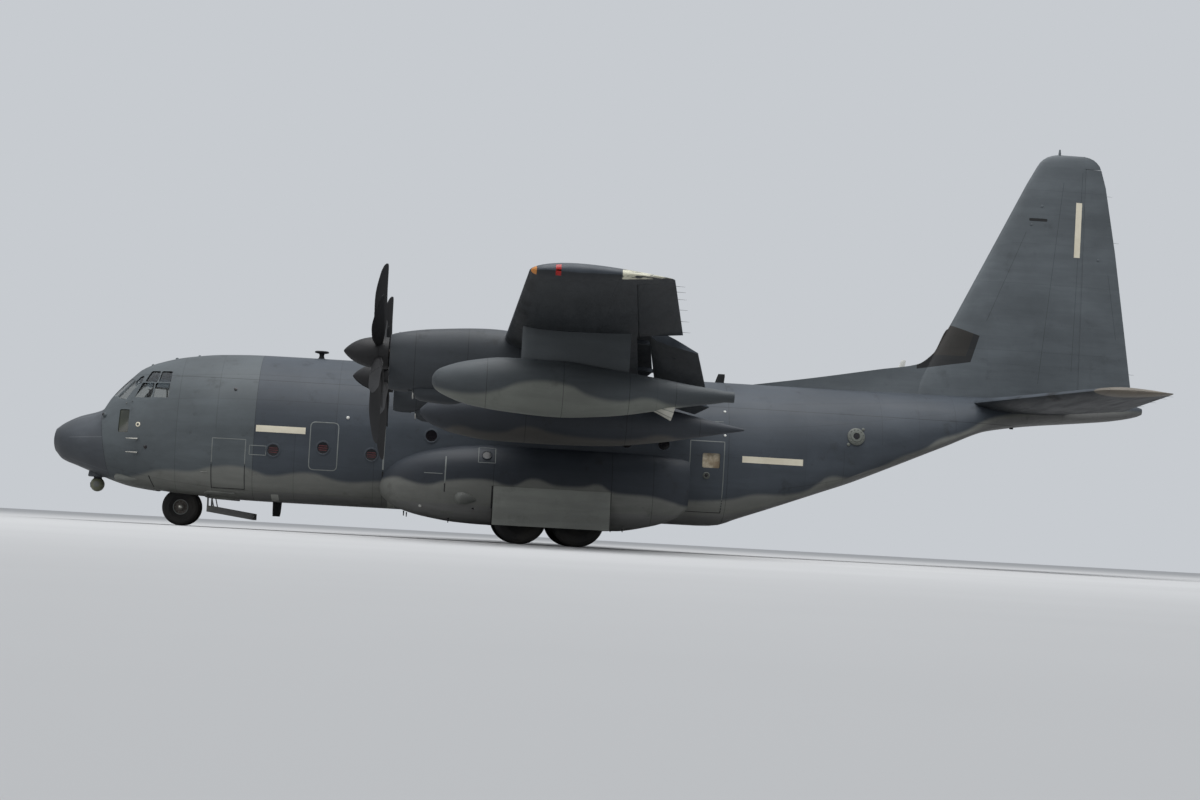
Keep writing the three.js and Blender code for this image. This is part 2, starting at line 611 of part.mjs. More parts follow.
// The space for it in the fixed surface, clear of its nose by a gap
function coveSection(radius, gap) {
  const nose = halfRound((radius + gap) / Math.cos(Math.PI / 8));
  return [[0, 900], ...nose, [0, -900], [3500, -900], [3500, 900]];
}

// The same at a hinge rib, whose flat end reaches the middle of the nose
function ribSection(radius) {
  const [near, far, tall] = [-radius - 1.2, -(radius + 14) / Math.cos(Math.PI / 8), radius * 0.4];
  return [[3500, 900], [far, 900], [far, tall], [near, tall], [near, -tall], [far, -tall], [far, -900], [3500, -900]];
}
const clearance = (radius) => coveSection(radius, 14);

const aileronCamber = 0.011;
const aileronHinges = [14600, 18400];

function aileronRing(side, y, section) {
  const share = (y - wing.centreHalf) / (wing.tipY - wing.centreHalf);
  const [chord, thin] = ['chord', 'thin'].map((key) => wingEnds[0][key] + share * (wingEnds[1][key] - wingEnds[0][key]));
  const radius = (foilHeight(aileronHinge).top - aileronCamber) * 0.93 * chord * thin;
  return section(radius, (1 - aileronHinge) * chord).map(([a, b]) =>
    onWing(y, [aileronHinge + a / chord, aileronCamber * (1 - a / chord / 0.3) + b / chord / thin], side));
}
const makeAileron = (side) => loft(aileronEnds.map((y) => aileronRing(side, y, surfaceSection)), 1);
const aileronCove = (side, ends, section) => loft(ends.map((y) => aileronRing(side, y, section)), 1);

// Fin and tailplane
const finHinge = 27960;
const fin = [
  // height, leading edge, trailing edge of the rudder, half thickness
  [4500, 23150, 29570, 330],
  [6700, 24280, 29230, 270],
  [9000, 25400, 28870, 195],
  [11000, 26370, 28500, 130],
  [11330, 26560, 28380, 115],
];
const finCap = [[11330, 26560, 28380, 115], [11530, 26720, 28250, 95], [11640, 26920, 28080, 60], [11680, 27100, 27900, 20]];
const finFoil = [[0, 0], [0.03, 0.4], [0.12, 0.76], [0.32, 1], [0.6, 0.78], [1, 0.04]];
const roundFoil = [...finFoil, ...finFoil.slice(1).reverse().map(([u, v]) => [u, -v])];

const finRing = ([z, front, back, half]) => roundFoil.map(([u, v]) => [front + u * (back - front), v * half, z]);

function finHalf(row, x) {
  const [, front, back, half] = row;
  const u = (x - front) / (back - front);
  const next = finFoil.findIndex(([at]) => at >= u);
  const [a, b] = [finFoil[next - 1], finFoil[next]];
  return half * (a[1] + ((u - a[0]) / (b[0] - a[0])) * (b[1] - a[1]));
}

const dorsal = [
  // x, top, half width at the foot
  [18750, 4710, 40], [20500, 5010, 110], [22400, 5370, 190], [23400, 5560, 240], [23850, 5900, 250], [24300, 6700, 230],
  [24900, 6700, 230],
];

const finMast = { x: 27180, top: 11840, radius: 36 };
const rudderHinges = [6200, 9900];
const rudderEnds = [4870, 11290];
const rudderRow = (z) => {
  const next = Math.max(1, fin.findIndex((row) => row[0] >= z));
  const [a, b] = [fin[next - 1], fin[next]];
  return a.map((value, i) => value + ((z - a[0]) / (b[0] - a[0])) * (b[i] - value));
};
const rudderRing = (z, section) => {
  const row = rudderRow(z);
  return section(finHalf(row, finHinge) - 2, row[2] - finHinge).map(([a, b]) => [finHinge + a, b, z]);
};
function rudderCove(section) {
  const [foot, head] = rudderEnds.map((z) => rudderRing(z, section));
  const at = (ring, z) => ring.map(([x, y]) => [x, y, z]);
  return loft([at(foot, fin[0][0]), foot, head, at(head, fin.at(-1)[0])], 2);
}

function makeFin() {
  const whole = loft(fin.map(finRing), 2);
  const ribs = rudderHinges.map((z) => block([26000, 29600], [-500, 500], [z - 30, z + 30]).intersect(whole)
    .subtract(rudderCove(ribSection)));
  const blade = joined([whole.subtract(rudderCove(clearance)), ...ribs]);
  const cap = loft([[11329, 26555, 28383, 115], ...finCap.slice(1)].map(finRing), 2);
  const fillet = loft(dorsal.map(([x, top, half]) =>
    [[x, -half, 4350], [x, -half * 0.8, (top + 4700) / 2], [x, -22, top], [x, 22, top],
      [x, half * 0.8, (top + 4700) / 2], [x, half, 4350]]), 0);
  const mast = bar([finMast.x, 0, 11600], [finMast.x, 0, finMast.top], finMast.radius, 10);
  return joined([blade, cap, fillet, mast]).subtract(hull(17500, length, -seam));
}

const makeRudder = () => loft(rudderEnds.map((z) => rudderRing(z, surfaceSection)), 2);

const tailZ = 4520;
const elevatorHinge = 27500;
const tailplane = [
  // y, leading edge, elevator's trailing edge, half thickness
  [345, 24750, 29060, 235],
  [7300, 26220, 28150, 120],
];
const tailTip = [[7300, 26220, 28150, 120], [7850, 26340, 28080, 100], [7990, 26480, 27980, 60], [8025, 26650, 27850, 20]];
const tailRing = (side) => ([y, front, back, half]) =>
  roundFoil.map(([u, v]) => [front + u * (back - front), side * y, tailZ + v * half]);
const elevatorEnds = [1000, 7260];

const elevatorHinges = [1900, 6300];

function elevatorRing(side, y, section) {
  const share = (y - tailplane[0][0]) / (tailplane[1][0] - tailplane[0][0]);
  const row = tailplane[0].map((value, i) => value + share * (tailplane[1][i] - value));
  return section(finHalf(row, elevatorHinge) - 2, row[2] - elevatorHinge)
    .map(([a, b]) => [elevatorHinge + a, side * y, tailZ + b]);
}
const elevatorCove = (side, section) => loft([200, elevatorEnds[1] + 12].map((y) => elevatorRing(side, y, section)), 1);

function makeTailplane(side) {
  const whole = loft([...tailplane.slice(0, 1), ...tailTip].map(tailRing(side)), 1);
  const ribs = elevatorHinges.map((y) => hingeSlab(side, y).intersect(whole).subtract(elevatorCove(side, ribSection)));
  return joined([whole.subtract(elevatorCove(side, clearance)), ...ribs]).subtract(hull(24000, length, -seam));
}

const makeElevator = (side) => loft(elevatorEnds.map((y) => elevatorRing(side, y, surfaceSection)), 1);

// Engines, their nacelles and propellers
const nacelle = [
  // x, top and bottom from the shaft, half width
  [nacelleFront, 430, -800, 400],
  [9300, 480, -840, 450],
  [10100, 610, -830, 550],
  [11400, 690, -740, 590],
  [12400, 600, -620, 560],
  [13300, 420, -430, 480],
  [14150, 150, -200, 330],
];
const oilCooler = [[9700, -700, -930, 230], [9850, -640, -1030, 290], [10500, -600, -1080, 300],
  [11400, -600, -800, 120]];

function podRing([x, top, bottom, half], y, z, square, count) {
  const power = 2 / square;
  return Array.from({ length: count }, (_, i) => {
    const angle = (2 * Math.PI * i) / count;
    return [x, y + half * signedPower(Math.cos(angle), power),
      z + (top + bottom) / 2 + ((top - bottom) / 2) * signedPower(Math.sin(angle), power)];
  });
}
const pod = (rows, y, z, square, count) => loft(rows.map((row) => podRing(row, y, z, square, count)), 0);

function makeNacelle([, side, y, z]) {
  const at = side * y;
  const body = pod(nacelle, at, z, 2.4, 12);
  const scoop = pod(oilCooler, at, z, 2.4, 8);
  const exhaust = bar([12600, at, z - 380], [13650, at, z - 520], 190, 10);
  const cavity = turned([[0, nacelleFront + 110], [400, nacelleFront + 110], [400, firewall], [0, firewall]], 'x',
    [0, at, z], 10);
  const shaftHole = turned([[0, 9000], [160, 9000], [160, 9400], [0, 9400]], 'x', [0, at, z], 10);
  const intake = pod([[9100, -420, -720, 300], [9600, -380, -640, 250]], at, z, 2.4, 8);
  const coolerMouth = pod([[9600, -720, -980, 200], [9760, -720, -980, 200]], at, z, 2.4, 8);
  const bore = bar([13350, at, z - 480], [13800, at, z - 540], 160, 10);
  return [cavity, shaftHole, intake, coolerMouth, bore, y > wing.centreHalf ? outerWingBody(side) : centreWingBody(5550)]
    .reduce((whole, cut) => whole.subtract(cut), joined([body, scoop, exhaust]));
}

function makeEngine([, side, y, z]) {
  const profile = [[0, 8700], [shaftRadius, 8700], [shaftRadius, 9420], [230, 9440], [340, 9650], [340, 9950],
    [300, firewall - seam], [0, firewall - seam]];
  return turned(profile, 'x', [0, side * y, z], 10);
}

const blade = [
  // radius, chord, half thickness, pitch from the disc, sweep of the mid chord
  [250, 150, 62, 62, 0],
  [700, 330, 36, 53, -20],
  [1300, 410, 19, 40, -45],
  [1800, 320, 9, 32, 20],
  [propRadius, 80, 4, 29, 130],
];
const bladeShape = [[-0.5, 0], [-0.15, 0.95], [0.5, 0], [-0.1, -0.6]];

function makeBlade(angle) {
  const rings = blade.map(([r, chord, half, pitch, sweep]) => bladeShape.map(([u, v]) => {
    const turn = THREE.MathUtils.degToRad(pitch);
    const [along, over] = [u * chord + sweep, -v * half];
    return [along * Math.sin(turn) + over * Math.cos(turn), along * Math.cos(turn) - over * Math.sin(turn), r];
  }));
  return turnedAbout(loft(rings, 2), [0, 0, 0], new THREE.Vector3(1, 0, 0), angle);
}

const propBore = (shaftRadius + 1.2) / Math.cos(Math.PI / 12);

function makePropeller([, side, y, z]) {
  const spinner = [[0, -800], [130, -750], [250, -580], [350, -220], [360, 215], [propBore, 215],
    [propBore, -205], [0, -205]];
  const hub = turned(spinner, 'x', [0, 0, 0], 12);
  const whole = joined([hub, ...[0, 60, 120, 180, 240, 300].map(makeBlade)]);
  return solidOf(geometryOf(whole).translate(propX, side * y, z));
}

// Stores under the wing: fuel tanks between the engines, hose pods outboard of them
const tank = { y: 7550, z: 3050, rows: [[9860, 60, -60, 60], [10100, 270, -270, 270], [10700, 480, -480, 480],
  [11600, 600, -600, 600], [13000, 615, -615, 615], [14300, 580, -580, 580], [15500, 440, -440, 440],
  [16700, 210, -210, 210], [17650, 25, -25, 25]] };
const hosePod = { y: 13850, z: 3390, rows: [[10160, 70, -70, 70], [10330, 260, -260, 260], [10900, 450, -470, 460],
  [11700, 560, -580, 570], [12800, 560, -640, 590], [13900, 440, -560, 500], [15000, 250, -330, 290],
  [16150, 125, -125, 125], [16550, 120, -120, 120]] };

function makeStore(side, { y, z, rows }, pylon) {
  const body = pod(rows, side * y, z, 2, 16);
  const [front, back] = pylon;
  const shape = finFoil.map(([u, v]) => [u, v]);
  const outline = [...shape, ...shape.slice(1).reverse().map(([u, v]) => [u, -v])];
  const web = loft([z + 250, onWing(y, [0, 0])[2] - 35].map((height) => outline.map(([u, v]) =>
    [front + u * (back - front), side * y + v * 105, height])), 2);
  return body.add(web.subtract(outerWingBody(side)));
}

// The drogue's funnel looks out of the pod's lower rear
const drogue = { front: [14640, -240], back: [15270, -400], radii: [80, 180] };
const drogueCup = { front: [14950, -319], back: [15290, -405], radii: [104, 160] };

function makeHosePod(side) {
  const cone = ({ front, back, radii }) => {
    const [start, end] = [front, back].map(([x, z]) => [x, side * hosePod.y, hosePod.z + z]);
    return bar(start, end, radii[0], 16, radii[1]);
  };
  return makeStore(side, hosePod, [12000, 14300]).add(cone(drogue).subtract(cone(drogueCup)));
}

// Landing gear
function wheelProfile(radius, width, rim, bore) {
  const half = width / 2;
  return [[bore, -half * 0.6], [rim, -half * 0.6], [radius * 0.84, -half], [radius, -half * 0.62],
    [radius, half * 0.62], [radius * 0.84, half], [rim, half * 0.6], [bore, half * 0.6], [bore, -half * 0.6]];
}

const makeMainWheel = (side, x) => turned(wheelProfile(mainWheel.radius, mainWheel.width, 300, mainWheel.bore), 'y',
  [x, side * mainWheel.y, mainAxleZ], wheelSides);
const makeNoseWheel = (side) => turned(wheelProfile(noseWheel.radius, noseWheel.width, 215, noseWheel.bore), 'y',
  [noseWheel.x, side * noseWheel.y, noseAxleZ], wheelSides);

const axleIn = (bore) => bore * flatTo - 1.2;
const strutY = 1765;

function makeMainLegs(side) {
  const y = side * strutY;
  const [front, back] = mainWheel.xs;
  const pieces = mainWheel.xs.flatMap((x) => [
    bar([x, y, 600], [x, y, 1250], 72, 8),
    bar([x, y, 1150], [x, y, well.top - seam], 100, 8),
    bar([x, side * 1660, mainAxleZ], [x, side * (mainWheel.y + 165), mainAxleZ], axleIn(mainWheel.bore)),
  ]);
  const link = bar([front, y, 640], [back, y, 640], 34, 6);
  const brace = bar([front, y, 1620], [back, y, 1620], 60, 6);
  return joined([...pieces, link, brace]);
}

const steerZ = 1120;

function makeNoseLeg() {
  const { x } = noseWheel;
  return joined([
    bar([x, 0, steerZ + seam], [x, 0, gearBay.top - seam], 130),
    bar([x, -gearBay.half + seam, 1850], [x, gearBay.half - seam, 1850], 60),
    bar([x, 0, 1350], [gearBay.x[0] + 70, 0, 1890], 50, 8),
    bar([x, 0, 1500], [gearBay.x[1] - 80, 0, 1900], 45, 8),
  ]);
}

function makeNoseFork() {
  const { x, bore, y } = noseWheel;
  return joined([
    bar([x, 0, 430], [x, 0, steerZ], 88),
    bar([x, -y - 120, noseAxleZ], [x, y + 120, noseAxleZ], axleIn(bore)),
    bar([x, 0, steerZ - 130], [x, 0, steerZ], 150),
    bar([x + 40, 0, 600], [x + 300, 0, 820], 30, 8),
    bar([x + 300, 0, 820], [x + 60, 0, steerZ - 60], 30, 8),
    bar([x - 190, 0, noseAxleZ + 130], [x, 0, noseAxleZ + 130], 40, 8),
  ]);
}

function makeNoseGearDoor() {
  const tilt = 0.13;
  const [x0, x1] = [4222, 5480];
  const low = (x) => 410 - (x - x0) * tilt;
  const half = 520;
  const ring = (x) => [[x, -half, low(x) + 170], [x, -half, low(x)], [x, half, low(x)], [x, half, low(x) + 170],
    [x, half - 60, low(x) + 170], [x, half - 60, low(x) + 60], [x, -half + 60, low(x) + 60],
    [x, -half + 60, low(x) + 170]];
  const arms = [left, right].flatMap((side) => [
    bar([4250, side * 490, 520], [4230, side * 570, 1440], 26, 8),
    sideBlock(side, [4190, 4270], [540, gearBay.half - seam], [1400, 1480]),
  ]);
  return joined([loft([x0, x1].map(ring), 0), ...arms]);
}

// The aeroplane
const aeroplane = new THREE.Group();
aeroplane.scale.setScalar(modelScale);
aeroplane.position.x = (-length / 2) * modelScale;

function place(name, solid, material) {
  const mesh = new THREE.Mesh(geometryOf(solid), material);
  mesh.name = name;
  aeroplane.add(mesh);
}

place('radome', makeRadome(), radomeGrey);
place('sensor_turret', makeTurret(), sensorOlive);
place('nose_section', makeNose(10), upperGrey);
place('cockpit_glazing', makeGlazing(), glass);
place('flight_deck', makeFlightDeck(), cabinGrey);
place('crew_door', makeCrewDoor(), upperGrey);
place('centre_fuselage', makeCentre(), upperGrey);
place('cargo_floor', makeCargoFloor(), cabinGrey);
place('aft_fuselage', makeAft(), upperGrey);
place('cargo_ramp', makeRamp(), underGrey);
place('aft_cargo_door', makeUpperDoor(), underGrey);
place('centre_wing', makeCentreWing(), upperGrey);
place('fin', makeFin(), upperGrey);
place('rudder', makeRudder(), upperGrey);
place('nose_gear_leg', makeNoseLeg(), gearMetal);
place('nose_gear_fork', makeNoseFork(), gearMetal);
place('nose_gear_door', makeNoseGearDoor(), underGrey);

sides.forEach(([side, name]) => {
  place(`${name}_paratroop_door`, makeParaDoor(side), upperGrey);
  place(`${name}_wheel_fairing`, makeSponson(side), underGrey);
  place(`${name}_main_gear_door`, makeGearDoor(side), underGrey);
  place(`${name}_main_gear_legs`, makeMainLegs(side), gearMetal);
  place(`${name}_front_main_wheel`, makeMainWheel(side, mainWheel.xs[0]), rubber);
  place(`${name}_rear_main_wheel`, makeMainWheel(side, mainWheel.xs[1]), rubber);
  place(`${name}_nose_wheel`, makeNoseWheel(side), rubber);
  place(`${name}_outer_wing`, makeOuterWing(side), upperGrey);
  place(`${name}_inner_flap`, makeFlap(side, 'inner'), underGrey);
  place(`${name}_outer_flap`, makeFlap(side, 'outer'), underGrey);
  place(`${name}_aileron`, makeAileron(side), upperGrey);
  place(`${name}_tailplane`, makeTailplane(side), upperGrey);
  place(`${name}_elevator`, makeElevator(side), upperGrey);
  place(`${name}_fuel_tank`, makeStore(side, tank, [11860, 15000]), underGrey);
  place(`${name}_hose_pod`, makeHosePod(side), underGrey);
});

engines.forEach((engine) => {
  place(`${engine[0]}_nacelle`, makeNacelle(engine), underGrey);
  place(`${engine[0]}_engine`, makeEngine(engine), engineMetal);
  place(`${engine[0]}_propeller`, makePropeller(engine), bladeBlack);
});

export default aeroplane;
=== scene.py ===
import bpy
import math
from mathutils import Matrix, Vector


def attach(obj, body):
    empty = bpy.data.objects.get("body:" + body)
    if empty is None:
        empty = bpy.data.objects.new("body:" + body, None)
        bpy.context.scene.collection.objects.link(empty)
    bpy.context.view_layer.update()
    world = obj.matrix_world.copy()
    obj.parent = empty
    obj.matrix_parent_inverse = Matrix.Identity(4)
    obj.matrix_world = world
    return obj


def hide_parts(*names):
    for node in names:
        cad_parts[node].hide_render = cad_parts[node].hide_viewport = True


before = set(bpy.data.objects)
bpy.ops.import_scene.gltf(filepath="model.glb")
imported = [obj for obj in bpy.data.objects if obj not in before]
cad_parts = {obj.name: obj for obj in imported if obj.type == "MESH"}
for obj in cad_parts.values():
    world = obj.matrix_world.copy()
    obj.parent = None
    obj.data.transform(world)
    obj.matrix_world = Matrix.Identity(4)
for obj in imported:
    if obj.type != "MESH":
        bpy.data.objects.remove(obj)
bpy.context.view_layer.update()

# Places are the full-size aeroplane's, in millimetres: x aft of the nose tip, y to starboard, z up.
mm = 0.0005
midX = 14895
sides = {"left": -1, "right": 1}


def spot(x, y, z):
    return Vector(((x - midX) * mm, y * mm, z * mm))


# Working with objects

def only(obj):
    bpy.ops.object.select_all(action="DESELECT")
    obj.select_set(True)
    bpy.context.view_layer.objects.active = obj
    return obj


def pick(obj, kind, test):  # enters edit mode with the parts that pass the test selected
    only(obj)
    bpy.ops.object.mode_set(mode="EDIT")
    bpy.ops.mesh.select_mode(type=kind)
    bpy.ops.mesh.select_all(action="DESELECT")
    bpy.ops.object.mode_set(mode="OBJECT")
    parts = {"VERT": obj.data.vertices, "EDGE": obj.data.edges, "FACE": obj.data.polygons}[kind]
    for part in parts:
        part.select = bool(test(part))
    bpy.ops.object.mode_set(mode="EDIT")


def leaveEdit():
    bpy.ops.object.mode_set(mode="OBJECT")


def started(name, add, **settings):  # a new primitive, with nothing else selected
    bpy.ops.object.select_all(action="DESELECT")
    add(**settings)
    obj = bpy.context.object
    obj.name = obj.data.name = name
    return obj


def outward(obj, merge=0.0):
    only(obj)
    bpy.ops.object.mode_set(mode="EDIT")
    bpy.ops.mesh.select_all(action="SELECT")
    if merge:
        bpy.ops.mesh.remove_doubles(threshold=merge)
    bpy.ops.mesh.normals_make_consistent(inside=False)
    leaveEdit()
    return obj


def modify(obj, kind, **settings):
    made = obj.modifiers.new(kind.lower(), kind)
    for key, value in settings.items():
        setattr(made, key, value)
    only(obj)
    bpy.ops.object.modifier_apply(modifier=made.name)
    return obj


def drop(*objs):
    for obj in objs:
        bpy.data.objects.remove(obj, do_unlink=True)


def cut(obj, *tools, how="DIFFERENCE", keep=False, crossed=False):
    for tool in tools:
        modify(obj, "BOOLEAN", object=tool, operation=how, solver="EXACT", material_mode="TRANSFER", use_self=crossed)
    if not keep:
        drop(*tools)
    return obj


def joined(name, objs):
    bpy.ops.object.select_all(action="DESELECT")
    for obj in objs:
        obj.select_set(True)
    bpy.context.view_layer.objects.active = objs[0]
    if len(objs) > 1:
        bpy.ops.object.join()
    objs[0].name = objs[0].data.name = name
    return objs[0]


def copied(obj, name, move=None):
    other = obj.copy()
    other.data = obj.data.copy()
    other.name = other.data.name = name
    bpy.context.scene.collection.objects.link(other)
    if move is not None:
        other.data.transform(move)
        if move.determinant() < 0:
            other.data.flip_normals()
    return other


mirrorY = Matrix.Scale(-1, 4, (0, 1, 0))
upward, aftward = (0, 0, 1), (1, 0, 0)


# Starting shapes

def loft(name, rings, ends="NGON"):
    # a cylinder with as many rows as rings, each drawn out to its section
    count, rows = len(rings[0]), len(rings)
    obj = started(name, bpy.ops.mesh.primitive_cylinder_add, vertices=count, radius=1, depth=rows - 1,
                  end_fill_type=ends)
    if rows > 2:
        heights = [v.co.z for v in obj.data.vertices]
        pick(obj, "EDGE", lambda edge: abs(heights[edge.vertices[0]] - heights[edge.vertices[1]]) > 0.5)
        bpy.ops.mesh.subdivide(number_cuts=rows - 2)
        leaveEdit()
    for v in obj.data.vertices:
        row = round(v.co.z + (rows - 1) / 2)
        turn = round((math.atan2(v.co.y, v.co.x) / (2 * math.pi) - 0.25) * count) % count
        v.co = spot(*rings[row][turn])
    return outward(obj)


def hoop(name, centre, axis, profile, count=64):
    # a torus whose section is drawn out to a closed profile of [radius, distance along the axis]
    obj = started(name, bpy.ops.mesh.primitive_torus_add, major_segments=count, minor_segments=len(profile),
                  major_radius=2, minor_radius=1)
    axis, across, other = axes(axis)
    for v in obj.data.vertices:
        turn = math.atan2(v.co.y, v.co.x)
        around = math.atan2(v.co.z, math.hypot(v.co.x, v.co.y) - 2) / (2 * math.pi)
        radius, along = profile[round(around * len(profile)) % len(profile)]
        v.co = spot(*(Vector(centre) + axis * along + (across * math.cos(turn) + other * math.sin(turn)) * radius))
    return outward(obj)


def axes(axis):
    axis = Vector(axis).normalized()
    across = axis.orthogonal().normalized()
    return axis, across, axis.cross(across)


def turned(name, centre, axis, profile, count=40, ends="NGON"):
    # a profile of [radius, distance along the axis] turned about an axis
    axis, across, other = axes(axis)
    turns = [2 * math.pi * i / count for i in range(count)]
    return loft(name, [[Vector(centre) + axis * along + (across * math.cos(t) + other * math.sin(t)) * radius
                        for t in turns] for radius, along in profile], ends)


def bar(name, start, end, radius, count=24, endRadius=None, soft=0.12):
    along = Vector(end) - Vector(start)
    last = radius if endRadius is None else endRadius
    chamfer = radius * soft
    profile = [(radius - chamfer, 0), (radius, chamfer), (last, along.length - chamfer),
               (last - chamfer, along.length)]
    return turned(name, start, along, profile, count)


def block(name, xs, ys, zs, soft=0):
    obj = started(name, bpy.ops.mesh.primitive_cube_add, size=1)
    low, high = spot(min(xs), min(ys), min(zs)), spot(max(xs), max(ys), max(zs))
    for v in obj.data.vertices:
        v.co = Vector([low[i] + (v.co[i] + 0.5) * (high[i] - low[i]) for i in range(3)])
    if soft:
        modify(obj, "BEVEL", width=soft * mm, segments=2, limit_method="ANGLE")
    return obj


def prism(name, outline, axis, ends):  # an outline as thick as the range of the axis that it is square to
    place = {"x": lambda a, b, c: (c, a, b), "y": lambda a, b, c: (a, c, b), "z": lambda a, b, c: (a, b, c)}[axis]
    return loft(name, [[place(a, b, c) for a, b in outline] for c in ends])


def rounded(outline, radius, steps=5):
    points = []
    for before, corner, after in zip(outline[-1:] + outline[:-1], outline, outline[1:] + outline[:1]):
        a, b, c = Vector(before), Vector(corner), Vector(after)
        start = b + (a - b).normalized() * min(radius, (a - b).length / 2)
        end = b + (c - b).normalized() * min(radius, (c - b).length / 2)
        for t in (i / steps for i in range(steps + 1)):
            points.append(start * (1 - t) ** 2 + b * 2 * t * (1 - t) + end * t ** 2)
    return points


def box2d(x0, x1, z0, z1):
    return [(x0, z0), (x1, z0), (x1, z1), (x0, z1)]


def middleOf(outline):
    return sum((Vector(p) for p in outline), Vector((0, 0))) / len(outline)


def grown(outline, by):
    middle = middleOf(outline)
    return [Vector(p) + (Vector(p) - middle).normalized() * by for p in outline]


def curveThrough(rows):
    # smooth, monotone curves through the rows of a table, as a function of the first column
    spans = [b[0] - a[0] for a, b in zip(rows, rows[1:])]
    slopes = []
    for column in zip(*rows):
        steps = [(b - a) / span for a, b, span in zip(column, column[1:], spans)]
        middle = [2 * a * b / (a + b) if a * b > 0 else 0 for a, b in zip(steps, steps[1:])]
        slopes.append([steps[0], *middle, steps[-1]])

    def values(x):
        i = max(0, min(len(spans) - 1, sum(row[0] <= x for row in rows) - 1))
        t = min(1, max(0, (x - rows[i][0]) / spans[i]))
        return [(2 * t ** 3 - 3 * t ** 2 + 1) * a + (t ** 3 - 2 * t ** 2 + t) * spans[i] * slope[i]
                + (3 * t ** 2 - 2 * t ** 3) * b + (t ** 3 - t ** 2) * spans[i] * slope[i + 1]
                for a, b, slope in list(zip(rows[i], rows[i + 1], slopes))[1:]]
    return values


def squircle(turn, square):  # a point of a unit superellipse in the direction of an angle
    c, s = math.cos(turn), math.sin(turn)
    size = (abs(c) ** square + abs(s) ** square) ** (-1 / square)
    return c * size, s * size


def steps(first, last, count):
    return [first + (last - first) * i / count for i in range(count + 1)]


# Materials

def rgb(red, green, blue):
    return tuple(c / 12.92 if c <= 0.04045 else ((c + 0.055) / 1.055) ** 2.4
                 for c in (red / 255, green / 255, blue / 255)) + (1,)


def add(tree, kind, values=None, **settings):
    node = tree.nodes.new(kind)
    for key, value in settings.items():
        setattr(node, key, value)
    for key, value in (values or {}).items():
        if isinstance(value, bpy.types.NodeSocket):
            tree.links.new(value, node.inputs[key])
        else:
            node.inputs[key].default_value = value
    return node


def calc(tree, operation, *values):
    return add(tree, "ShaderNodeMath", dict(enumerate(values)), operation=operation).outputs[0]


def times(tree, first, *others):
    for value in others:
        first = calc(tree, "MULTIPLY", first, value)
    return first


def farFrom(tree, value, at):
    return calc(tree, "ABSOLUTE", calc(tree, "SUBTRACT", value, at))


def parted(tree, vector):
    return add(tree, "ShaderNodeSeparateXYZ", {0: vector}).outputs


def ramp(tree, value, low, high, fromLow=0.0, toHigh=1.0):
    return add(tree, "ShaderNodeMapRange", {
        "Value": value, "From Min": low, "From Max": high, "To Min": fromLow, "To Max": toHigh,
    }, interpolation_type="SMOOTHSTEP").outputs[0]


def mix(tree, factor, a, b, mode="MIX"):
    return add(tree, "ShaderNodeMix", {0: factor, 6: a, 7: b}, data_type="RGBA", blend_type=mode).outputs[2]


def noise(tree, vector, scale, detail=4, roughness=0.55):
    return add(tree, "ShaderNodeTexNoise", {"Vector": vector, "Scale": scale, "Detail": detail,
                                            "Roughness": roughness}).outputs[0]


def stretched(tree, vector, size):
    return add(tree, "ShaderNodeMapping", {"Vector": vector, "Scale": size}).outputs[0]


def newGroup(name, inputs, outputs):
    tree = bpy.data.node_groups.new(name, "ShaderNodeTree")
    for label, kind, value in inputs:
        socket = tree.interface.new_socket(label, in_out="INPUT", socket_type="NodeSocket" + kind)
        if value is not None:
            socket.default_value = value
    for label, kind in outputs:
        tree.interface.new_socket(label, in_out="OUTPUT", socket_type="NodeSocket" + kind)
    return tree, tree.nodes.new("NodeGroupInput").outputs, tree.nodes.new("NodeGroupOutput").inputs


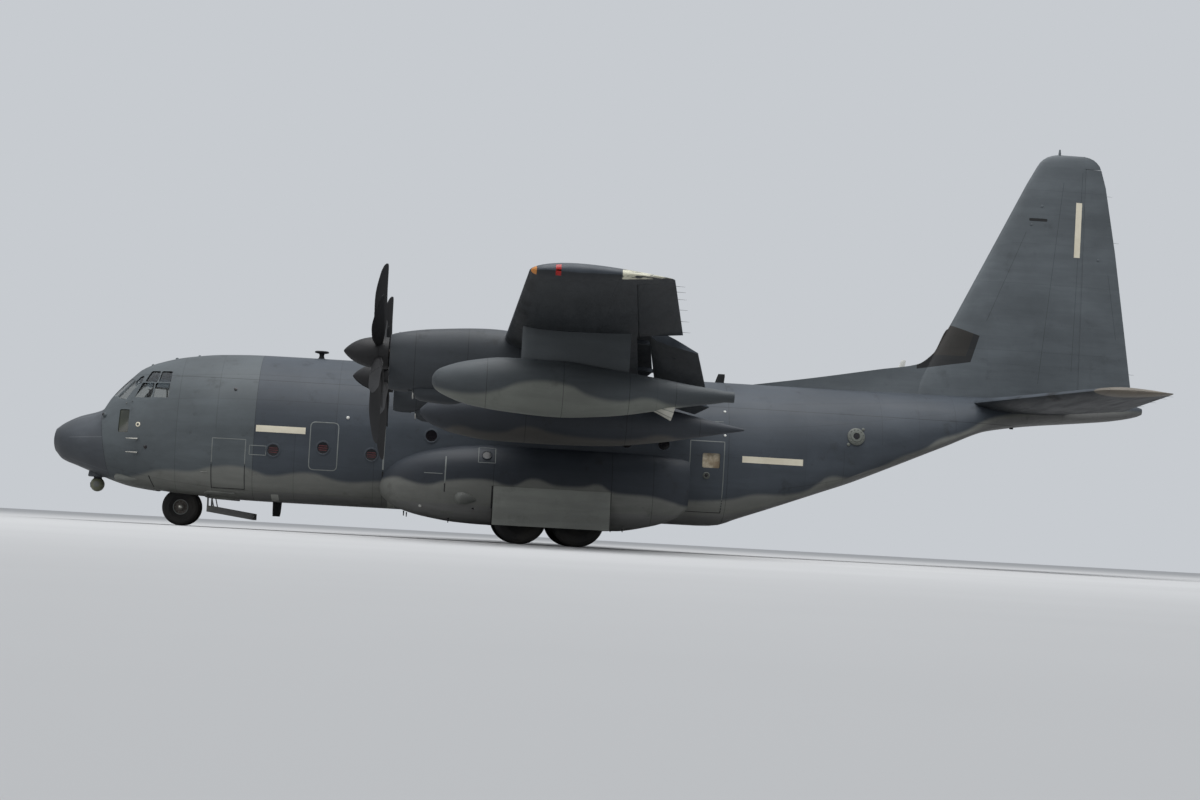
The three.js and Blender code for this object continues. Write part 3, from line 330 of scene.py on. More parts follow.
def makePanelLines():
    tree, given, out = newGroup("panelLines", [
        ("Along", "Float", 0), ("Across", "Float", 0), ("Along Spacing", "Float", 0.5),
        ("Across Spacing", "Float", 0.4), ("Width", "Float", 0.003), ("Rivet Pitch", "Float", 0.025),
    ], [("Line", "Float"), ("Rivet", "Float"), ("Tone", "Float")])
    along, across, width = given["Along"], given["Across"], given["Width"]
    rows, columns = given["Along Spacing"], given["Across Spacing"]

    def cellTone(a, b):
        place = add(tree, "ShaderNodeCombineXYZ", {0: a, 1: b}).outputs[0]
        return add(tree, "ShaderNodeTexWhiteNoise", {"Vector": place}).outputs[0]

    def strength(value, spacing, other):  # each line is stronger in some places than in others
        nearest = calc(tree, "MULTIPLY_ADD", calc(tree, "DIVIDE", value, spacing), 1.0, 0.5)
        tone = cellTone(calc(tree, "FLOOR", nearest), calc(tree, "FLOOR", calc(tree, "DIVIDE", other, 2.3)))
        return ramp(tree, tone, 0.3, 0.95, 0.05, 1.0)

    def toLine(value, spacing):
        share = calc(tree, "FRACT", calc(tree, "DIVIDE", value, spacing))
        return times(tree, calc(tree, "PINGPONG", share, 0.5), spacing)

    def dots(distance, other):
        beside = calc(tree, "SUBTRACT", distance, times(tree, width, 3.5))
        pitch = given["Rivet Pitch"]
        step = calc(tree, "FRACT", calc(tree, "DIVIDE", other, pitch))
        ahead = times(tree, calc(tree, "SUBTRACT", step, 0.5), pitch)
        away = calc(tree, "SQRT", calc(tree, "ADD", times(tree, beside, beside), times(tree, ahead, ahead)))
        return ramp(tree, away, 0.0022, 0.0040, 1, 0)

    first, second = toLine(along, rows), toLine(across, columns)
    thin, wide = times(tree, width, 0.5), times(tree, width, 1.5)
    one = times(tree, ramp(tree, first, thin, wide, 1, 0), strength(along, rows, across))
    two = times(tree, ramp(tree, second, thin, wide, 1, 0), strength(across, columns, along))
    tree.links.new(calc(tree, "MAXIMUM", one, two), out["Line"])
    tree.links.new(calc(tree, "MAXIMUM", dots(first, across), dots(second, along)), out["Rivet"])
    tree.links.new(cellTone(calc(tree, "FLOOR", calc(tree, "DIVIDE", along, rows)),
                            calc(tree, "FLOOR", calc(tree, "DIVIDE", across, columns))), out["Tone"])
    return tree


def makeWeather():
    tree, given, out = newGroup("weather", [("Vector", "Vector", None), ("Airflow", "Vector", (0.35, 3.0, 3.0))],
                                [("Fade", "Float"), ("Streak", "Float"), ("Stain", "Float"), ("Grain", "Float")])
    flow = add(tree, "ShaderNodeVectorMath", {0: given["Vector"], 1: given["Airflow"]}, operation="MULTIPLY").outputs[0]
    tree.links.new(noise(tree, given["Vector"], 0.9, 5, 0.6), out["Fade"])
    tree.links.new(ramp(tree, noise(tree, flow, 2.4, 6, 0.62), 0.35, 0.7), out["Streak"])
    tree.links.new(ramp(tree, noise(tree, given["Vector"], 3.2, 8, 0.68), 0.56, 0.74), out["Stain"])
    tree.links.new(noise(tree, given["Vector"], 140, 3, 0.6), out["Grain"])
    return tree


panelLines, weather = makePanelLines(), makeWeather()


def newMaterial(name):
    material = bpy.data.materials.new(name)
    material.use_nodes = True
    tree = material.node_tree
    shader = tree.nodes["Principled BSDF"]
    coordinates = tree.nodes.new("ShaderNodeTexCoord")
    coordinates.name = "place"
    return material, tree, shader, coordinates.outputs["Object"]


def edgeCurve(tree, place, points, soft=0.011):  # a mask below a drawn line of full-size metres aft and up
    split = parted(tree, place)
    share = calc(tree, "MULTIPLY_ADD", split[0], 2 / 30, midX / 30000)
    curve = tree.nodes.new("ShaderNodeFloatCurve")
    line = curve.mapping.curves[0]
    line.points[0].location = (0, points[0][1] / 6)
    line.points[1].location = (1, points[-1][1] / 6)
    for x, z in points:
        line.points.new(x / 30, z / 6)
    curve.mapping.update()
    tree.links.new(share, curve.inputs["Value"])
    height = times(tree, split[2], 2 / 6)
    return ramp(tree, calc(tree, "SUBTRACT", curve.outputs[0], height), -soft, soft)


def agedPaint(name, upper, lower, lines, split=None, belly=None, bellyColour=None, under=0.0, spacing=(0.5, 0.36),
              roughness=0.52, airflow=(0.35, 3.0, 3.0), extra=None, stains=0.35, joints=(), levels=(), width=0.0024):
    # matt paint in two or three tones, with panel lines, rivets, streaks and stains
    material, tree, shader, place = newMaterial(name)
    x, y, z = parted(tree, place)
    colour = mix(tree, 0.0, upper, upper)
    if under:
        up = parted(tree, tree.nodes["place"].outputs["Normal"])[2]
        ragged = calc(tree, "MULTIPLY_ADD", noise(tree, stretched(tree, place, (1, 0.9, 1)), 1.6, 4), 0.5, -0.55)
        colour = mix(tree, ramp(tree, calc(tree, "SUBTRACT", ragged, up), -0.05, 0.05), colour, lower)
    if extra:
        colour = extra(tree, place, (x, y, z), colour)
    if split:
        colour = mix(tree, edgeCurve(tree, place, split), colour, lower)
    if belly:
        colour = mix(tree, edgeCurve(tree, place, belly, 0.0012), colour, bellyColour)
    if lines == "body":  # lines run along and around the hull
        height = calc(tree, "SUBTRACT", z, ramp(tree, x, 1.55, 7.45, 1.30, 2.3))
        along, across = x, times(tree, calc(tree, "ARCTAN2", height, calc(tree, "ABSOLUTE", y)), 1.08)
    else:
        along, across = {"wing": (y, x), "fin": (z, x), "pod": (x, z)}[lines]
    grid = add(tree, "ShaderNodeGroup", {"Along": along, "Across": across, "Along Spacing": spacing[0],
                                         "Across Spacing": spacing[1], "Width": width}, node_tree=panelLines).outputs
    aged = add(tree, "ShaderNodeGroup", {"Vector": place, "Airflow": airflow}, node_tree=weather).outputs
    fade = ramp(tree, aged["Fade"], 0.3, 0.7, 0.86, 1.12)
    for mask, low, high, weak, strong in (
            (aged["Streak"], 0, 1, 0.93, 1.06), (grid["Tone"], 0, 1, 0.975, 1.025),
            (aged["Grain"], 0.3, 0.7, 0.96, 1.04), (grid["Line"], 0, 1, 1.0, 0.58), (grid["Rivet"], 0, 1, 1.0, 0.86)):
        fade = times(tree, fade, ramp(tree, mask, low, high, weak, strong))
    for axis, places in ((x, [(at - midX / 1000) / 2 for at in joints]), (z, [at / 2 for at in levels])):
        for at in places:
            fade = times(tree, fade, ramp(tree, farFrom(tree, axis, at), 0.0018, 0.0042, 0.42, 1.0))
    grey = add(tree, "ShaderNodeCombineColor", {0: fade, 1: fade, 2: fade}).outputs[0]
    colour = mix(tree, times(tree, aged["Stain"], stains), mix(tree, 1.0, colour, grey, "MULTIPLY"), rgb(38, 36, 33))
    tree.links.new(colour, shader.inputs["Base Color"])
    rough = calc(tree, "MULTIPLY_ADD", aged["Streak"], 0.14, roughness - 0.07)
    tree.links.new(calc(tree, "MULTIPLY_ADD", aged["Stain"], 0.12, rough), shader.inputs["Roughness"])
    height = calc(tree, "MULTIPLY_ADD", grid["Line"], -1.0, times(tree, grid["Rivet"], 0.35))
    height = calc(tree, "MULTIPLY_ADD", aged["Grain"], 0.08, height)
    bump = add(tree, "ShaderNodeBump", {"Height": height, "Strength": 0.45, "Distance": 0.001})
    tree.links.new(bump.outputs[0], shader.inputs["Normal"])
    shader.inputs["Specular IOR Level"].default_value = 0.35
    return material


def plain(name, colour, second, roughness=0.5, metal=0.0, scale=8, bump=0.3, grain=90):
    # a finish with two mixed tones, worn patches and a fine grain
    material, tree, shader, place = newMaterial(name)
    aged = add(tree, "ShaderNodeGroup", {"Vector": stretched(tree, place, (scale / 3,) * 3)}, node_tree=weather).outputs
    tree.links.new(mix(tree, ramp(tree, aged["Fade"], 0.35, 0.65), colour, second), shader.inputs["Base Color"])
    worn = ramp(tree, aged["Stain"], 0, 1, roughness, min(1, roughness + 0.2))
    tree.links.new(worn, shader.inputs["Roughness"])
    shader.inputs["Metallic"].default_value = metal
    fine = {"Height": noise(tree, place, grain, 4), "Strength": bump, "Distance": 0.001}
    tree.links.new(add(tree, "ShaderNodeBump", fine).outputs[0], shader.inputs["Normal"])
    return material


paint = {
    "upper": rgb(69, 75, 82), "noseUpper": rgb(87, 93, 96), "lower": rgb(125, 126, 121), "belly": rgb(122, 122, 120),
    "wingUnder": rgb(51, 54, 57), "pale": rgb(148, 150, 144), "radome": rgb(79, 83, 88), "fin": rgb(96, 102, 106),
    "pod": rgb(128, 131, 124), "store": rgb(62, 66, 72), "tankLower": rgb(92, 90, 86), "engine": rgb(63, 67, 71),
    # sponson: the wheel fairings' upper tone, darker than the fuselage's upper paint, is a painted shadow of the wing
    "sponson": rgb(56, 61, 68), "podUpper": rgb(76, 81, 84),
}
waveLine = [(0, 0.9), (1.8, 1.14), (2.42, 1.25), (3.11, 1.43), (3.88, 1.43), (4.38, 1.56), (5.03, 1.63), (5.65, 1.5),
            (5.9, 1.43), (6.79, 1.55), (7.1, 1.55), (7.41, 1.47), (7.95, 1.37), (8.73, 1.43), (10.2, 1.5),
            (16.0, 1.45), (16.58, 1.4), (17.14, 1.39), (18.09, 1.48), (18.82, 1.65), (19.49, 1.68), (20.05, 1.78),
            (20.49, 2.06), (20.87, 2.25), (21.32, 2.23), (21.76, 2.43), (22.1, 2.55), (22.7, 2.87), (23.37, 3.15),
            (23.8, 3.44), (24.36, 3.63), (25.6, 4.2), (27.5, 4.45), (29.8, 4.6)]
bellyLine = [(0, 0.3), (4.6, 0.5), (5.4, 0.94), (8.76, 0.96), (16.0, 0.96), (18.14, 1.11), (18.97, 1.3), (19.97, 1.65),
             (20.86, 2.01), (21.35, 2.27), (22.18, 2.6), (23.29, 3.06), (24.77, 3.72), (25.6, 4.1), (29.8, 4.55)]
sponsonLine = [(8.76, 1.48), (9.26, 1.58), (9.57, 1.5), (10.04, 1.42), (10.6, 1.55), (11.65, 1.62), (12.25, 1.5),
               (12.84, 1.71), (13.45, 1.57), (14.16, 1.58), (14.52, 1.66), (14.94, 1.47), (15.96, 1.42), (16.51, 1.31),
               (16.99, 1.22), (17.4, 1.27), (18.12, 1.35)]
tankLine = [(9.82, 2.88), (10.28, 2.62), (10.78, 2.74), (11.29, 2.64), (11.8, 2.64), (12.42, 2.8), (13.06, 2.68),
            (14.07, 2.61), (15.02, 2.66), (15.65, 2.79), (16.16, 2.73), (17.6, 2.9)]
podLine = [(10.13, 3.23), (10.52, 3.15), (11.02, 3.12), (11.53, 3.21), (12.02, 3.4), (12.53, 3.46), (13.04, 3.39),
           (13.42, 3.22), (14.06, 3.13), (14.69, 3.23), (15.2, 3.13), (16.5, 3.1)]


def noseTint(tree, place, split, colour):
    colour = mix(tree, ramp(tree, split[0], -4.702, -4.694, 1, 0), colour, paint["noseUpper"])
    stain = times(tree, within(tree, split[0], 1.47, 1.62, 0.04), ramp(tree, split[2], 0.5, 0.66, 1, 0))
    blots = ramp(tree, noise(tree, stretched(tree, place, (1, 1, 0.7)), 9, 5), 0.48, 0.6)
    return mix(tree, times(tree, stain, blots, 0.8), colour, rgb(24, 23, 22))


def radomeStrips(tree, place, split, colour):
    # thin lightning strips run back over the dome
    rise = calc(tree, "SUBTRACT", split[2], 1.05)
    turn = calc(tree, "ARCTAN2", rise, split[1])
    away = calc(tree, "PINGPONG", calc(tree, "MULTIPLY_ADD", turn, 8 / (2 * math.pi), 0.12), 0.5)
    radius = calc(tree, "SQRT", calc(tree, "ADD", calc(tree, "POWER", split[1], 2.0), calc(tree, "POWER", rise, 2.0)))
    line = ramp(tree, times(tree, away, times(tree, radius, math.pi / 4)), 0.0012, 0.003, 1, 0)
    line = times(tree, line, ramp(tree, split[0], -7.2, -7.16))
    colour = mix(tree, times(tree, line, 0.5), colour, rgb(150, 156, 160))
    edge = farFrom(tree, calc(tree, "MULTIPLY_ADD", split[2], 0.17, split[0]), -6.5275)
    return mix(tree, ramp(tree, edge, 0.003, 0.010, 0.6, 0), colour, rgb(30, 32, 35))


def besideLine(tree, split, start, end, first=0, second=2):
    # how far a place lies to one side of a line between two full-size places, in model metres
    (a0, b0), (a1, b1) = [((a - midX / 1000) / 2, b / 2) for a, b in (start, end)]
    long = math.hypot(a1 - a0, b1 - b0)
    across = times(tree, calc(tree, "SUBTRACT", split[first], a0), (b1 - b0) / long)
    return calc(tree, "SUBTRACT", across, times(tree, calc(tree, "SUBTRACT", split[second], b0), (a1 - a0) / long))


def within(tree, value, low, high, soft=0.0008):
    return times(tree, ramp(tree, value, low - soft, low + soft), ramp(tree, value, high - soft, high + soft, 1, 0))


finLines = [[(26.28, 9.44), (25.25, 6.87), 6.87, 9.44], [(28.68, 8.38), (28.97, 6.58), 6.58, 8.38],
            [(27.84, 11.2), (27.70, 5.6), 5.6, 11.2], [(27.30, 10.9), (26.75, 5.2), 5.2, 10.9]]


def finTint(tree, place, split, colour):
    # the dark foot patch, seams and the trim tab's edges
    patch = 1.0
    for start, end in (((24.28, 6.70), (25.07, 6.44)), ((25.07, 6.44), (24.84, 5.69)), ((24.84, 5.69), (23.39, 5.44))):
        patch = times(tree, patch, ramp(tree, besideLine(tree, split, start, end), -0.001, 0.001, 0, 1))
    patch = times(tree, patch, ramp(tree, split[0], 4.246, 4.249))
    inner = times(tree, patch, ramp(tree, besideLine(tree, split, (24.92, 6.5), (24.68, 5.74)), 0.0, 0.01),
                  ramp(tree, split[2], 2.92, 2.93))
    colour = mix(tree, inner, mix(tree, patch, colour, rgb(44, 45, 46)), rgb(54, 52, 49))
    for start, end, low, high in finLines:
        away = calc(tree, "ABSOLUTE", besideLine(tree, split, start, end))
        line = times(tree, ramp(tree, away, 0.001, 0.0028, 0.75, 0), within(tree, split[2], low / 2, high / 2))
        colour = mix(tree, line, colour, rgb(24, 25, 27))
    return colour


def wingTint(tree, place, split, colour):
    # joints of the outer panel, behind and ahead of its spars
    out = calc(tree, "ABSOLUTE", split[1])
    beyond = ramp(tree, out, 6.70, 6.705)
    seams = calc(tree, "MAXIMUM", *(ramp(tree, farFrom(tree, split[0], at), 0.00096, 0.00256, 1, 0)
                                    for at in (-0.6475, -0.4225)))
    colour = mix(tree, times(tree, seams, beyond, 0.85), colour, rgb(15, 15, 16))
    # smudges along the leading edges
    outer = [split[0], out, split[2]]
    edge = calc(tree, "MAXIMUM", within(tree, split[0], -1.7, -1.42, 0.05),
                within(tree, besideLine(tree, outer, (24.75, 0.345), (26.22, 7.3), 0, 1), -0.02, 0.16, 0.03))
    spots = ramp(tree, noise(tree, stretched(tree, place, (1.2, 1, 1)), 2.6, 3), 0.5, 0.62)
    colour = mix(tree, times(tree, edge, spots, 0.6), colour, rgb(22, 22, 22))
    # worn paint behind the tip, and the bare tips of the tailplane
    flake = ramp(tree, noise(tree, stretched(tree, place, (1.6, 6, 6)), 5.5, 3), 0.44, 0.48)
    worn = times(tree, within(tree, split[0], -0.66, -0.15, 0.004), ramp(tree, out, 10.02, 10.03))
    colour = mix(tree, times(tree, worn, flake), colour, rgb(214, 211, 190))
    tip = times(tree, within(tree, out, 3.68, 5.0, 0.001), ramp(tree, split[0], 5.0, 5.01))
    return mix(tree, times(tree, tip, 0.85), colour, rgb(124, 116, 104))


def glass(name, colour, rough=0.02, bend=1.3):
    material, tree, shader, place = newMaterial(name)
    haze = noise(tree, place, 6, 4)
    tint = mix(tree, ramp(tree, haze, 0.45, 0.75, 0, 0.1), colour, rgb(150, 158, 158))
    tree.links.new(tint, shader.inputs["Base Color"])
    tree.links.new(ramp(tree, haze, 0.3, 0.8, rough, rough + 0.08), shader.inputs["Roughness"])
    shader.inputs["Transmission Weight"].default_value = 1.0
    shader.inputs["IOR"].default_value = bend
    return material


def streaksBelow(tree, place, split, colour):
    # soot behind the cooler and the exhaust
    blots = ramp(tree, noise(tree, stretched(tree, place, (0.5, 6, 6)), 2.2, 5), 0.35, 0.62)
    soot = times(tree, ramp(tree, split[0], -1.75, -0.9), blots)
    return mix(tree, times(tree, soot, 0.55), colour, rgb(40, 38, 36))


look = {
    "body": agedPaint("fuselagePaint", paint["upper"], paint["lower"], "body", waveLine, bellyLine, paint["belly"],
                      spacing=(0.52, 0.42), extra=noseTint, joints=(5.5, 8.9, 18.0), levels=(3.95,)),
    "radome": agedPaint("radomePaint", paint["radome"], paint["lower"], "body", spacing=(60, 60), roughness=0.46,
                        extra=radomeStrips, stains=0.15),
    "wing": agedPaint("wingPaint", paint["upper"], paint["wingUnder"], "wing", under=1, spacing=(0.86, 0.34),
                      airflow=(3.0, 0.5, 3.0), extra=wingTint, width=0.003),
    "fin": agedPaint("finPaint", paint["fin"], paint["lower"], "fin", spacing=(0.19, 1.3), airflow=(0.4, 3, 3),
                     extra=finTint, width=0.0009, stains=0.2),
    # the wheel fairings: the upper tone is a painted shadow of the wing; the lower and belly tones are paint
    "sponson": agedPaint("fairingPaintWingShadow", paint["sponson"], paint["lower"], "pod", sponsonLine, bellyLine,
                         paint["belly"], spacing=(20, 20), joints=(11.8, 14.9, 16.0)),
    "tank": agedPaint("tankPaint", paint["store"], paint["tankLower"], "pod", tankLine, spacing=(20, 20),
                      joints=(12.37, 14.77, 16.56), stains=0.3),
    "pod": agedPaint("hosePodPaint", paint["podUpper"], paint["pod"], "pod", podLine, spacing=(20, 20),
                     joints=(11.3, 12.9, 14.3, 15.3), stains=0.25),
    "nacelle": agedPaint("nacellePaint", paint["engine"], paint["belly"], "pod", spacing=(20, 20), stains=0.5,
                         extra=streaksBelow, joints=(9.72, 10.9, 12.05, 13.1)),
    "gearDoor": agedPaint("gearDoorPaint", paint["pale"], paint["lower"], "pod", spacing=(20, 20), stains=0.2),
    "pylon": agedPaint("pylonPaint", rgb(84, 89, 92), paint["lower"], "pod", spacing=(20, 20), stains=0.3),
    "cabin": plain("cabinLining", rgb(96, 104, 98), rgb(78, 86, 82), 0.7),
    "lining": plain("holdLining", rgb(128, 134, 126), rgb(106, 112, 106), 0.6),
    "dark": plain("bayPaint", rgb(62, 64, 63), rgb(44, 45, 46), 0.65),
    "glass": glass("cockpitGlass", rgb(244, 246, 244)),
    "roofGlass": glass("roofWindowGlass", rgb(140, 152, 160), 0.06, 1.62),
    "oliveGlass": plain("chinWindowGlass", rgb(70, 73, 62), rgb(56, 59, 52), 0.14, bump=0.02),
    "dullRed": plain("dullRedPaint", rgb(96, 44, 46), rgb(76, 38, 42), 0.5),
    "pale": plain("paleFairing", rgb(128, 130, 124), rgb(104, 106, 102), 0.55),
    "darkGlass": plain("darkGlass", rgb(22, 22, 26), rgb(34, 30, 32), 0.12, bump=0.02),
    "black": plain("bladePaint", rgb(20, 20, 22), rgb(30, 29, 30), 0.55),
    "drogue": plain("droguePaint", rgb(214, 212, 200), rgb(180, 178, 166), 0.7, bump=0.5),
    "rubber": plain("tyreRubber", rgb(36, 36, 37), rgb(54, 52, 49), 0.82, bump=0.5),
    "metal": plain("bareMetal", rgb(190, 188, 180), rgb(160, 158, 152), 0.26, 0.9),
    "gear": plain("gearMetal", rgb(150, 152, 146), rgb(112, 114, 112), 0.42, 0.4),
    "cloth": plain("seatCloth", rgb(66, 70, 58), rgb(52, 56, 47), 0.9, bump=0.6, grain=260),
    "screen": plain("screenGlass", rgb(24, 44, 50), rgb(16, 30, 36), 0.12, bump=0.02),
    "fitting": plain("fittingPaint", rgb(112, 115, 108), rgb(88, 91, 86), 0.5),
    "chrome": plain("pistonChrome", rgb(205, 205, 205), rgb(180, 180, 182), 0.14, 1.0, bump=0.05),
    "cream": plain("stripCream", rgb(240, 232, 210), rgb(226, 217, 194), 0.5),
    "line": plain("linePaint", rgb(136, 140, 138), rgb(116, 120, 118), 0.6),
    "seam": plain("seamDark", rgb(30, 31, 33), rgb(40, 41, 42), 0.8),
    "olive": plain("sensorPaint", rgb(132, 134, 112), rgb(108, 110, 92), 0.36),
    "engine": plain("engineMetal", rgb(112, 106, 98), rgb(84, 78, 72), 0.5, 0.8),
    "redLens": plain("redLens", rgb(190, 30, 22), rgb(160, 20, 18), 0.08, bump=0.02),
    "greenLens": plain("greenLens", rgb(24, 140, 70), rgb(20, 110, 60), 0.08, bump=0.02),
    "amber": plain("amberLens", rgb(214, 140, 60), rgb(190, 120, 50), 0.1, bump=0.02),
    "white": plain("antennaWhite", rgb(226, 226, 220), rgb(206, 206, 200), 0.4),
    "lip": plain("lipMetal", rgb(216, 215, 208), rgb(186, 184, 176), 0.3, 0.35),
    "stepGrey": plain("stepPaint", rgb(186, 187, 180), rgb(160, 160, 154), 0.5),
    # an opaque pane for the jump door's window: its cream and brown tones are a painted reflection
    "doorPaneReflection": plain("doorPaneReflection", rgb(232, 220, 194), rgb(150, 132, 108), 0.16, scale=16, bump=0.05),
    "rim": plain("rimPaint", rgb(96, 90, 84), rgb(74, 70, 66), 0.5),
    "green": plain("primer", rgb(74, 80, 66), rgb(62, 66, 56), 0.6),
}
print("materials made")


def painted(obj, *keys):
    for key in keys:
        obj.data.materials.append(look[key])
    return obj


def finish(obj, key, slot, *stands, body="airframe"):
    if key:
        obj.data.materials.clear()
        painted(obj, key)
    only(obj)
    bpy.ops.object.shade_smooth_by_angle(angle=math.radians(34))
    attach(obj, body)
    if stands:
        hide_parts(*stands)
    return obj


def assembled(name, parts, slot, *stands, body="airframe"):  # one piece from parts that are listed by their look
    objs = [painted(obj, key) for key, group in parts.items() for obj in group]
    return finish(joined(name, objs), None, slot, *stands, body=body)


# Fuselage
fuselageRows = [
    # x, top, mid, bottom, half width, squareness of the lower half
    [60, 2420, 2120, 1820, 340, 2], [270, 2580, 2105, 1605, 660, 2], [650, 2780, 2090, 1460, 950, 2],
    [1250, 2985, 2080, 1240, 1230, 2.1], [1350, 3070, 2090, 1205, 1270, 2.1], [1450, 3280, 2110, 1165, 1310, 2.2],
    [2080, 3990, 2230, 980, 1560, 2.4], [2260, 4150, 2270, 950, 1620, 2.5], [2660, 4340, 2350, 900, 1740, 2.6],
    [3400, 4540, 2460, 840, 1920, 2.9], [4400, 4670, 2555, 795, 2070, 3.2], [5500, 4715, 2600, 765, 2140, 3.4],
    [6500, 4720, 2600, 760, 2150, 3.4], [17600, 4720, 2600, 760, 2150, 3.4], [18000, 4720, 2600, 800, 2150, 3.6],
    [18400, 4720, 2620, 960, 2145, 4], [19150, 4720, 2680, 1240, 2120, 4.5], [20700, 4720, 2850, 1830, 2010, 5],
    [21460, 4720, 2960, 2120, 1930, 5], [22560, 4725, 3170, 2600, 1770, 5], [24000, 4740, 3520, 3240, 1480, 5],
    [25250, 4760, 3960, 3770, 1150, 5], [26500, 4780, 4230, 4010, 850, 4], [28000, 4790, 4400, 4180, 560, 3],
    [28900, 4790, 4480, 4290, 380, 2.5], [29600, 4750, 4590, 4440, 200, 2], [29790, 4700, 4610, 4520, 90, 2],
]
fuselageAt = curveThrough(fuselageRows)
skinCount = 96


def skinPoint(x, turn, inset=0):
    top, mid, bottom, half, square = fuselageAt(x)
    if x < 60:
        share = math.sqrt(max(x, 0) / 60)
        top, bottom, half = mid + (top - mid) * share, mid - (mid - bottom) * share, half * share
    y, z = squircle(turn, 2 if math.sin(turn) >= 0 else square)
    return x, y * max(half - inset, 5), mid + z * max((top - mid if z > 0 else mid - bottom) - inset, 5)


def turnAt(x, z):  # how far round the fuselage's section a height lies
    low, high = -math.pi / 2, math.pi / 2
    for _ in range(30):
        middle = (low + high) / 2
        low, high = (middle, high) if skinPoint(x, middle)[2] < z else (low, middle)
    return low


def radomeJoint(z):
    return 1660 - (z - 1060) * 0.17


def leanPoint(share, turn, end, inset=0, gap=0):
    z = 2100
    for _ in range(12):
        joint = radomeJoint(z) + gap
        point = skinPoint(joint + share * (end - joint), turn, inset)
        z = point[2]
    return point


turns = [2 * math.pi * (i + 0.5) / skinCount for i in range(skinCount)]


def hull(name, stations, inset=0):
    return loft(name, [[skinPoint(x, t, inset) for t in turns] for x in stations])


def noseHull(name, inset=0, gap=0.6, end=5499.4, rows=44):
    return loft(name, [[leanPoint(share, t, end, inset, gap) for t in turns] for share in steps(0, 1, rows)])


wall = {"nose": 70, "hold": 130}


def lined(obj, inner):  # a shell from its skin and the space inside it
    return cut(painted(obj, "body"), painted(inner, "cabin"))


sideWindows = [
    [(2760, 3345), (3155, 3345), (3155, 3722), (2780, 3722)], [(2250, 3320), (2705, 3335), (2725, 3712), (2410, 3712)],
    [(2850, 3775), (3160, 3775), (3160, 4060), (2890, 4060)], [(2470, 3765), (2795, 3770), (2835, 4055), (2600, 4055)],
    [(2150, 3690), (2355, 3700), (2405, 3900), (2330, 3905)],
    [(1890, 2380), (2150, 2380), (2150, 2970), (1890, 2970)],
]
frontWindows = [
    [(-300, 3400), (300, 3400), (270, 3860), (-270, 3860)], [(370, 3390), (830, 3330), (760, 3800), (340, 3860)],
    [(900, 3310), (1210, 3240), (1110, 3640), (830, 3790)],
]


def windowTools(grow):
    tools = []
    for side in sides.values():
        for w in sideWindows:
            tools.append(prism("tool", grown(rounded(w, 34), grow), "y", [side * 700, side * 2400]))
        for w in frontWindows[0 if side > 0 else 1:]:
            outline = [(y * side, z) for y, z in grown(rounded(w, 34), grow)]
            tools.append(prism("tool", outline, "x", [1300, 2380]))
    return tools


crewDoor = {"x": (4430, 5290), "z": (1050, 2330)}
noseBay = {"xs": (2850, 4330), "ys": (-620, 620), "zs": (600, 1960)}
paraDoor = {"x": (16980, 17880), "z": (1120, 2990)}


def makeNose():
    radome = loft("radomeShell", [[leanPoint(share, t, 0) for t in turns]
                                  for share in [1 - (i / 34) ** 2 for i in range(34, 0, -1)] + [0.99995]])
    collar = turned("turretCollar", (1220, 0, 1182), upward, [(236, 0), (258, 12), (262, 40), (240, 170), (150, 240)])
    finish(joined("radomeShell", [radome, collar]), "radome", "radome_paint", "radome")
    shell = lined(noseHull("noseShell"), noseHull("noseInside", wall["nose"], 80, 5560))
    sill = bar("tool", (4420, -1535, 1045), (5300, -1535, 1045), 98, 40, 120, 0.001)
    cut(sill, block("tool", (4000, 6000), (-3000, -1500), (900, 1200)), how="INTERSECT")
    cut(shell, *windowTools(12), block("tool", **noseBay), block("tool", (4420, 5300), (-2500, -1300), (1040, 2340)),
        sill)
    bay = cut(block("noseBay", (2790, 4390), (-680, 680), (930, 2020)), block("tool", **noseBay))
    finish(joined("noseShell", [shell, painted(bay, "dark")]), None, "upper_paint", "nose_section")
    band = noseHull("cockpitPanes", 24, -40, 5600)
    cut(band, noseHull("glassInside", 44, -60, 5700))
    cut(band, joined("panes", windowTools(24)), how="INTERSECT", crossed=True)
    painted(band, "glass", "roofGlass", "oliveGlass")
    if len(band.data.materials) > 3:
        band.data.materials.pop(index=0)
    for face in band.data.polygons:
        height = face.center.z / mm
        face.material_index = 2 if height < 3050 else 1 if height > 3745 else 0
    finish(band, None, "glazing", "cockpit_glazing")


def below(xs, rise, foot=300):  # the side view of what lies under a line that rises with the hull's underside
    line = [(x, fuselageAt(x)[2] + rise) for x in xs]
    return line + [(xs[-1], foot), (xs[0], foot)]


